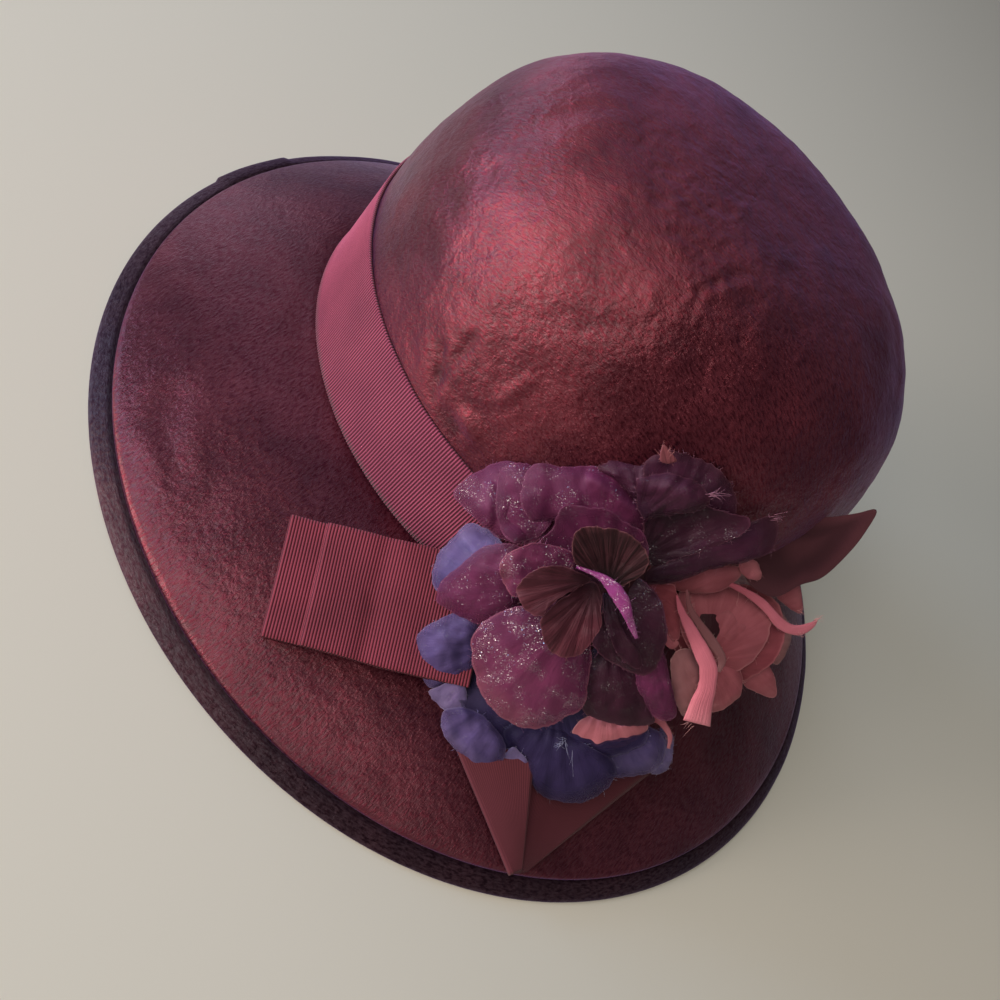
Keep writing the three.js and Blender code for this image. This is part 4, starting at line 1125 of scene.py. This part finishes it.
def petal_mesh(petal, seed):
    """A petal, with its flat size and the points and outward directions of its rim."""
    look = CLOTHS[petal["cloth"]]
    outline = even_outline(OUTLINES[petal["name"]])
    centre = outline[:-1].mean(0)
    turn = np.linspace(0, TAU, len(outline))
    fray = look["ragged"] * uneven(at_level(outline, seed * 13), [(1.6, 1, seed), (5, 1, seed + 1)])
    outline = outline + unit(outline - centre) * fray[:, None]
    share = 1 - (1 - np.linspace(0, 1, PETAL_RINGS)) ** RING_SPACING
    flat = centre + (outline - centre)[None] * share[:, None, None]
    bearing, distance, along = vein_places(petal, flat)
    place = at_level(flat, seed * 17)
    size = np.sqrt(max(np.ptp(outline[:, 0]) * np.ptp(outline[:, 1]), 1))
    lift = petal["cup"] * share[:, None] ** 2
    waves = np.sin(look["waves"] * turn[None] + seed * 1.7)
    lift = lift + look["ruffle"] * share[:, None] ** RUFFLE_POWER * waves
    lift = lift - look["curl"] * share[:, None] ** CURL_POWER
    pleats = np.sin(bearing * PLEATS_PER_RADIAN + seed) * np.clip(distance / PLEATS_START, 0, 1)
    lift = lift + look["pleat"] * pleats
    for share_of_size, least_size, height, step in CRUMPLES:
        noise_size = max(size * share_of_size, least_size)
        lift = lift + look["crumple"] * height * wavering(place, noise_size, seed + step)
    lift = lift + folded(petal["name"], flat)
    middle = in_space(petal, flat, lift)
    share_uv = np.stack(np.broadcast_arrays(share[:, None], along), -1)
    vein_uv = np.stack([bearing, distance * MM], -1)
    width, length = cloth_size(middle.reshape(-1, 3))
    flat = (width, length, min(surface_area(middle), width * length))
    return closed_sheet(middle, share_uv, vein_uv), flat, (middle[-1], unit(middle[-1] - middle[-3]))


def cloth_size(points):
    """Width and length of the flat cloth that a petal is cut from, which is curved in space."""
    offsets = points - points.mean(0)
    directions = np.linalg.svd(offsets, full_matrices=False)[2]
    length, width, depth = (np.ptp(offsets @ direction) for direction in directions)
    return math.hypot(width, depth), math.hypot(length, depth)


def curl_mesh(petal, seed):
    """A narrow strip rolled back along both edges, with what petal_mesh gives."""
    line = smooth_open(CURLS[petal["name"]], STRIP_ROWS)
    place, half = line[:, :2], np.maximum(line[:, 2], CURL_LEAST_HALF)
    ahead = unit(np.gradient(place, axis=0))
    sideways = np.stack([ahead[:, 1], -ahead[:, 0]], -1)
    side = np.sin(np.linspace(-1, 1, STRIP_COLUMNS) * math.pi / 2)
    look = CLOTHS[petal["cloth"]]
    wobble = look["ragged"] * wavering(at_level(place, seed * 9), CURL_WOBBLE_SIZE, seed)
    flat = place[:, None] + sideways[:, None] * (side[None] * (half + wobble * 0.5)[:, None])[..., None]
    lift = CURL_ROUND * half[:, None] * (np.sqrt(np.maximum(1.02 - side[None] ** 2, 0)) - 0.5)
    crumple = wavering(at_level(flat, seed * 17), CURL_CRUMPLE_SIZE, seed + 3)
    lift = lift + CURL_CRUMPLE * look["crumple"] * crumple
    points = in_space(petal, flat, lift)
    along = np.linspace(0, 1, STRIP_ROWS)
    share_uv = np.stack(np.broadcast_arrays(np.abs(side)[None] * 0.97, along[:, None]), -1)
    vein_uv = np.stack(np.broadcast_arrays(side[None], along[:, None] * 0.03), -1)
    uv = np.concatenate([share_uv, vein_uv], -1)
    outward = points[:, [0, -1]] - points[:, [1, -2]]
    rim = points[:, [0, -1]].reshape(-1, 3), unit(outward.reshape(-1, 3))
    return sheet(points, uv, PETAL_WALL, PETAL_EDGE_WALL), flat_size(points), rim


# Fibres for each millimetre of a petal's rim, by cloth
FRAYS = {
    "heart": 0.15, "cup": 0.15, "glitter": 0.4, "plum": 0.4, "salmon": 0.4, "coral": 0.8, "dusk": 0.8,
    "pink": 0.35, "grey": 0.3, "blue": 0.35, "indigo": 0.4, "lilac": 0.7,
}
FRAY_LENGTH = (0.3, 1.4)
FRAY_RADIUS = 0.035
FRAY_SPREAD = 0.45
LONGEST_RIM = 150
# Tufts of longer fibres: the petal that they lie on, place on the sketch, bearing and spread in degrees,
# number and length
TUFT_COLUMNS = ("petal", "place", "bearing", "spread", "count", "length")
TUFTS = [
    ("blue_bottom", (-11, -37), 200, 170, 16, 3.0),
    ("blue_bottom", (-8.5, -39.5), -90, 10, 2, 8.5),
    ("blue_fold", (-20.5, -47), -60, 70, 10, 2.5),
    ("dusk_ridge", (33, 37.5), 5, 20, 14, 4.0),
    ("dusk_right", (52, 30.5), 5, 20, 8, 3.5),
    ("pink_upper", (64, 0), 20, 50, 12, 2.0),
    ("pink_upper", (60, -4.2), -60, 60, 14, 1.2),
    ("pink_curl", (27.5, -31), 215, 15, 4, 2.5),
    ("pink_middle", (42, 9), -100, 6, 1, 4.0),
    ("pink_middle", (41, 5), -130, 6, 1, 3.0),
    ("coral_tip", (20.5, 50), 80, 60, 8, 1.5),
    ("pink_far", (60, 3), -20, 50, 12, 2.0),
]
TUFT_LIFT = 1.2
TUFT_RADIUS = 0.055
TUFT_REACH = 0.6
TUFT_RISE = 0.2
TUFT_LENGTHS = (0.6, 1.0)
FRAY_SEED = 5
FIBRE_STEPS = 5
FIBRE_SIDES = 3
FIBRE_BEND = 0.35
FIBRE_TAPER = 0.6


def fibres(starts, ways, lengths, radius, random):
    """Tapered, slightly bent fibres as one mesh."""
    share = np.linspace(0, 1, FIBRE_STEPS)
    bend = random.normal(0, FIBRE_BEND, ways.shape)
    line = (
        starts[:, None]
        + (ways[:, None] * share[:, None] + bend[:, None] * share[:, None] ** 2) * lengths[:, None, None]
    )
    first = unit(np.cross(ways, (0.3, 0.5, 0.8)))
    second = np.cross(ways, first)
    turn = np.arange(FIBRE_SIDES) * TAU / FIBRE_SIDES
    ring = first[:, None] * np.cos(turn)[:, None] + second[:, None] * np.sin(turn)[:, None]
    thick = radius * (1 - FIBRE_TAPER * share)
    points = line[:, :, None] + ring[:, None] * thick[:, None, None]
    count, per_fibre = len(starts), FIBRE_STEPS * FIBRE_SIDES
    side = np.arange(FIBRE_SIDES)
    after = (side + 1) % FIBRE_SIDES
    row = np.arange(FIBRE_STEPS - 1)[:, None] * FIBRE_SIDES
    quads = np.stack([row + side, row + after, row + after + FIBRE_SIDES, row + side + FIBRE_SIDES], -1)
    quads = quads.reshape(1, -1, 4) + (np.arange(count) * per_fibre)[:, None, None]
    return points.reshape(-1, 3), quads.reshape(-1, 4), np.zeros((count * per_fibre, 2))


def rim_fibres(rims, density, random):
    """Starts and ways of short fibres along the rims of petals."""
    starts, ways = [], []
    for rim, outward in rims:
        length = min(np.linalg.norm(np.diff(rim, axis=0), axis=-1).sum(), LONGEST_RIM)
        picks = random.integers(0, len(rim), int(length * density))
        starts.append(rim[picks])
        ways.append(unit(outward[picks] + random.normal(0, FRAY_SPREAD, (len(picks), 3))))
    return np.concatenate(starts), np.concatenate(ways)


def tuft_fibres(tuft, petal, random):
    """Starts and ways of one tuft's fibres."""
    bearing = np.radians(tuft["bearing"] + tuft["spread"] * (random.random(tuft["count"]) - 0.5))
    place = np.array(tuft["place"], float) + random.normal(0, TUFT_REACH, (tuft["count"], 2))
    step = np.stack([np.cos(bearing), np.sin(bearing)], -1)
    lift = np.full(tuft["count"], TUFT_LIFT)
    start = in_space(petal, place, lift)
    return start, unit(in_space(petal, place + step, lift + TUFT_RISE) - start)


STEM_SIDES = 40
STEM_ROWS = 30
STEM_WINDINGS = 9
STEM_RELIEF = 0.02


def stem_mesh(stem):
    """A bound stem: a round-ended bundle, wound with a narrow strip."""
    foot, tip = np.array(stem["foot"], float), np.array(stem["tip"], float)
    axis = tip - foot
    share = np.linspace(0, 1, STEM_ROWS)
    profile = np.array(STEM_PROFILE)
    size = np.concatenate([[0], np.interp(share, profile[:, 0], profile[:, 1])])
    share = np.concatenate([[0], share])
    turn = np.linspace(0, TAU, STEM_SIDES + 1)
    sideways = unit(np.array([-axis[1], axis[0], 0.0]))
    upward = unit(np.cross(sideways, axis))
    wound = 1 + STEM_RELIEF * np.sin(TAU * STEM_WINDINGS * share[:, None] + turn[None])
    ring_size = (size[:, None] * wound * STEM_INSET)[..., None]
    points = (
        foot
        + share[:, None, None] * axis
        + ring_size * stem["half_width"] * np.cos(turn)[None, :, None] * sideways
        + ring_size * stem["half_height"] * np.sin(turn)[None, :, None] * upward
    )
    uv = np.stack(np.broadcast_arrays(0 * turn[None], share[:, None], turn[None], share[:, None] * 0.03), -1)
    return grid(points, uv)


# Scene

# Petal cloths: their colours at the root, in the body, at the tip and on the rim, how clear they are near
# the rim and how much they glitter
# The darker root colour is painted shade deep in the flowers, and the paler rim colour is partly a painted
# highlight
ORGANZA_COLUMNS = ("cloth", "root", "body", "tip", "edge", "clear", "glitter")
ORGANZAS = [
    ("heart", (52, 20, 30), (88, 38, 50), (98, 46, 58), (134, 78, 90), 0.1, 0),
    ("cup", (20, 8, 12), (78, 40, 48), (108, 58, 66), (134, 82, 88), 0.1, 0),
    ("glitter", (116, 40, 98), (158, 66, 136), (166, 78, 146), (206, 130, 190), 0.1, 0.9),
    ("plum_glitter", (72, 24, 54), (118, 50, 86), (156, 86, 104), (178, 108, 124), 0.3, 0.7),
    ("plum", (60, 18, 44), (100, 38, 74), (110, 46, 82), (150, 84, 116), 0.45, 0.25),
    # A darker copy of plum: painted shade for petals that lie in shade
    ("plum_dark", (34, 10, 24), (60, 22, 42), (70, 28, 48), (112, 60, 80), 0.1, 0.12),
    ("salmon", (156, 70, 84), (198, 118, 128), (210, 138, 144), (222, 160, 160), 0.2, 0),
    ("coral", (110, 56, 64), (136, 74, 82), (142, 82, 88), (160, 104, 108), 0.1, 0),
    ("dusk", (40, 14, 32), (70, 28, 52), (80, 38, 54), (120, 70, 84), 0.5, 0.06),
    ("pink", (124, 52, 62), (172, 94, 104), (190, 114, 122), (210, 146, 150), 0.25, 0),
    ("pink_bright", (176, 84, 100), (232, 132, 150), (238, 148, 162), (240, 180, 184), 0.1, 0),
    # A darker copy of pink: painted shade for petals that lie in shade
    ("pink_dark", (96, 34, 44), (144, 68, 78), (164, 90, 98), (196, 124, 130), 0.1, 0),
    ("grey", (124, 70, 76), (162, 108, 112), (176, 128, 130), (196, 158, 156), 0.4, 0),
    ("blue", (40, 30, 76), (90, 74, 122), (118, 102, 142), (146, 130, 164), 0.45, 0.08),
    ("indigo", (28, 20, 50), (48, 36, 74), (62, 50, 84), (92, 82, 112), 0.45, 0),
    ("lilac", (76, 62, 112), (120, 104, 146), (136, 120, 156), (168, 152, 180), 0.3, 0.2),
]
STEM_COLOURS = dict(root=(48, 20, 28), body=(58, 24, 32), tip=(64, 28, 36), edge=(70, 34, 42))
# A cloth's veins: the strength of the painted shade along them, their number for each radian and the depth
# of their relief
PLAIN_VEINS_AND_SHADE = (0.3, 9, 0.4)
VEINS_AND_SHADE = {"heart": (0.6, 16, 0.8), "cup": (0.9, 18, 1)}
THREADS = {
    "heart": (140, 90, 90), "cup": (140, 90, 90), "glitter": (190, 120, 170), "plum": (150, 90, 120),
    "salmon": (200, 140, 135), "coral": (190, 120, 120), "dusk": (150, 100, 120), "pink": (210, 150, 150),
    "grey": (190, 160, 150), "blue": (150, 140, 180), "indigo": (150, 150, 175), "lilac": (190, 180, 210),
}
SMOOTH_RELIEF = 0.00004


def make_materials():
    looks = {
        # The crown's last colour is painted shade in its creases
        "crown": satin("crown_satin", (80, 26, 36), (122, 50, 60), 1.0, 0.38, (66, 22, 30)),
        "brim": satin("brim_satin", (76, 28, 38), (112, 49, 59), 0.5, 0.4),
        # The lip's satin is a darker, greyer copy of the brim's: painted shade
        "edge": satin("edge_satin", (56, 38, 46), (74, 46, 54), 0.5, 0.55),
        # Ribbon colours: ridge, valley and wear; the valley colour is painted shade between the ribs
        "ribbon": grosgrain("grosgrain", (138, 54, 70), (52, 12, 24), (120, 46, 60)),
        # The band's ribbon is a lighter, bluer copy of the bow's: painted light and a painted reflection of
        # the cool lamps
        "band": grosgrain("grosgrain_band_painted_light", (166, 76, 102), (76, 22, 42), (148, 66, 92)),
        # The pointed loop's and the tail's ribbons are darker copies of the bow's: painted shade
        "point": grosgrain("grosgrain_point_painted_shade", (104, 46, 56), (84, 34, 44), (94, 42, 50), SMOOTH_RELIEF),
        "tail": grosgrain("grosgrain_dark", (84, 42, 50), (60, 26, 34), (74, 36, 44)),
        "stem": organza("stem_wrap", **STEM_COLOURS, clear=0, glitter=0, veins_and_shade=PLAIN_VEINS_AND_SHADE),
    }
    for row in named(ORGANZA_COLUMNS, ORGANZAS):
        cloth = row.pop("cloth")
        looks[cloth] = organza(f"{cloth}_organza", **row, veins_and_shade=VEINS_AND_SHADE.get(cloth, PLAIN_VEINS_AND_SHADE))
    for cloth, colour in THREADS.items():
        looks[f"{cloth}_thread"] = thread(f"{cloth}_thread", colour)
    return looks


def build_hat(looks):
    add_piece("crown_shell", crown_mesh(), looks["crown"], ["crown"])
    add_piece("brim_shell", brim_mesh(), looks["brim"], ["brim"])
    add_piece("brim_lip", lip_mesh(), looks["edge"], ["brim_edge"])
    band = add_piece("band_ribbon", band_mesh(), looks["band"], ["hat_band"])


def build_bow(looks):
    for loop in named(LOOP_COLUMNS, LOOPS):
        body, flat = loop_mesh(loop)
        name = loop["name"]
        piece = add_piece(f"bow_{name}_ribbon", body, looks["ribbon"], [f"bow_loop_{name}"])
    body, flat = point_mesh()
    piece = add_piece("bow_point_ribbon", body, looks["point"], ["bow_loop_point"])


def build_flowers(looks):
    lies = {petal["name"]: petal for petal in PETALS}
    spare = [{**lies[fold["beside"]], **fold} for fold in named(FOLD_COLUMNS, LOOSE_FOLDS)]
    rims = {}
    for seed, petal in enumerate(PETALS + spare):
        make = curl_mesh if petal["name"] in CURLS else petal_mesh
        body, flat, rim = make(petal, seed + 1)
        rims.setdefault(petal["cloth"], []).append(rim)
        look = looks[PETAL_LOOKS.get(petal["name"], petal["cloth"])]
        nodes = [petal["name"]] if petal["name"] in lies else []
        piece = add_piece(petal["name"] + "_cloth", body, look, nodes)
    for stem in named(STEM_COLUMNS, STEMS):
        add_piece(stem["name"] + "_binding", stem_mesh(stem), looks["stem"], [stem["name"]])
    build_frays(looks, rims, lies)


def build_frays(looks, rims, petals):
    """Short fibres at the petals' rims, and a few tufts of longer ones."""
    random = np.random.default_rng(FRAY_SEED)
    for cloth, density in FRAYS.items():
        starts, ways = rim_fibres(rims[cloth], density, random)
        lengths = random.uniform(*FRAY_LENGTH, len(starts))
        meshes = [fibres(starts, ways, lengths, FRAY_RADIUS, random)]
        for tuft in named(TUFT_COLUMNS, TUFTS):
            petal = petals[tuft["petal"]]
            if petal["cloth"] == cloth:
                start, way = tuft_fibres(tuft, petal, random)
                lengths = tuft["length"] * random.uniform(*TUFT_LENGTHS, len(start))
                meshes.append(fibres(start, way, lengths, TUFT_RADIUS, random))
        first = np.cumsum([0] + [len(points) for points, _, _ in meshes])
        body = (
            np.concatenate([points for points, _, _ in meshes]),
            np.concatenate([faces + i for (_, faces, _), i in zip(meshes, first)]),
            np.concatenate([uv for _, _, uv in meshes]),
        )
        add_piece(f"{cloth}_frays", body, looks[cloth + "_thread"], [])


def add_camera():
    data = bpy.data.cameras.new("camera")
    data.sensor_width = CAMERA_SENSOR
    data.lens = CAMERA_LENS
    place, side, up, back = camera_frame()
    columns = [side, up, back, place * MM]
    camera = bpy.data.objects.new("camera", data)
    camera.matrix_world = Matrix([[*row] for row in np.array(columns).T] + [[0, 0, 0, 1]])
    bpy.context.scene.collection.objects.link(camera)
    bpy.context.scene.camera = camera


# Lights: azimuth and elevation in degrees, distance and size in metres, watts and colour
LIGHT_COLUMNS = ("name", "azimuth", "elevation", "distance", "size", "watts", "colour")
LIGHTS = [
    ("low", -136, 8, 2.0, 0.8, 24, (1.0, 0.87, 0.78)),
    ("near", -124, 12, 2.0, 0.8, 10, (1.0, 0.91, 0.9)),
    ("high", -106, 50, 1.2, 0.7, 4.8, (1.0, 0.95, 0.86)),
    ("over", -140, 45, 1.1, 0.45, 1.2, (1.0, 0.9, 0.8)),
    ("side", -165, 13, 2.0, 0.8, 16, (0.4, 0.63, 1.0)),
    ("window", 156, 13, 2.0, 0.8, 5.5, (0.75, 0.8, 1.0)),
    ("back", 175, 60, 1.1, 0.45, 0.9, (0.4, 0.65, 1.0)),
]
WORLD_STRENGTH = 0.13
WORLD_COLOUR = (0.86, 0.86, 0.82, 1.0)
LAMP_AIM_HEIGHT = 0.05
FLOOR_RADIUS = 3.0
FLOOR_SIDES = 96
FLOOR_COLOUR = (226, 220, 206)


def add_lights():
    for light in named(LIGHT_COLUMNS, LIGHTS):
        data = bpy.data.lights.new(light["name"], "AREA")
        data.shape = "DISK"
        data.size = light["size"]
        data.energy = light["watts"]
        data.color = light["colour"]
        azimuth, elevation = math.radians(light["azimuth"]), math.radians(light["elevation"])
        direction = Vector((
            math.cos(azimuth) * math.cos(elevation),
            math.sin(azimuth) * math.cos(elevation),
            math.sin(elevation),
        ))
        lamp = bpy.data.objects.new(light["name"], data)
        lamp.location = direction * light["distance"] + Vector((0, 0, LAMP_AIM_HEIGHT))
        lamp.rotation_euler = direction.to_track_quat("Z", "Y").to_euler()
        bpy.context.scene.collection.objects.link(lamp)


def add_world():
    world = bpy.data.worlds.new("studio")
    world.use_nodes = True
    background = world.node_tree.nodes["Background"]
    background.inputs["Color"].default_value = WORLD_COLOUR
    background.inputs["Strength"].default_value = WORLD_STRENGTH
    bpy.context.scene.world = world
    bpy.context.scene.view_settings.view_transform = "Standard"


def add_floor():
    mesh = bpy.data.meshes.new("floor")
    work = bmesh.new()
    bmesh.ops.create_circle(work, cap_ends=True, radius=FLOOR_RADIUS, segments=FLOOR_SIDES)
    work.to_mesh(mesh)
    work.free()
    floor = bpy.data.objects.new("floor", mesh)
    bpy.context.scene.collection.objects.link(floor)
    cloth = Cloth("floor")
    cloth.set(Base_Color=rgb(*FLOOR_COLOUR), Roughness=0.9, Specular_IOR_Level=0.2)
    mesh.materials.append(cloth.material)


def main():
    add_camera()
    add_world()
    add_lights()
    add_floor()
    looks = make_materials()
    build_hat(looks)
    build_bow(looks)
    build_flowers(looks)


main()
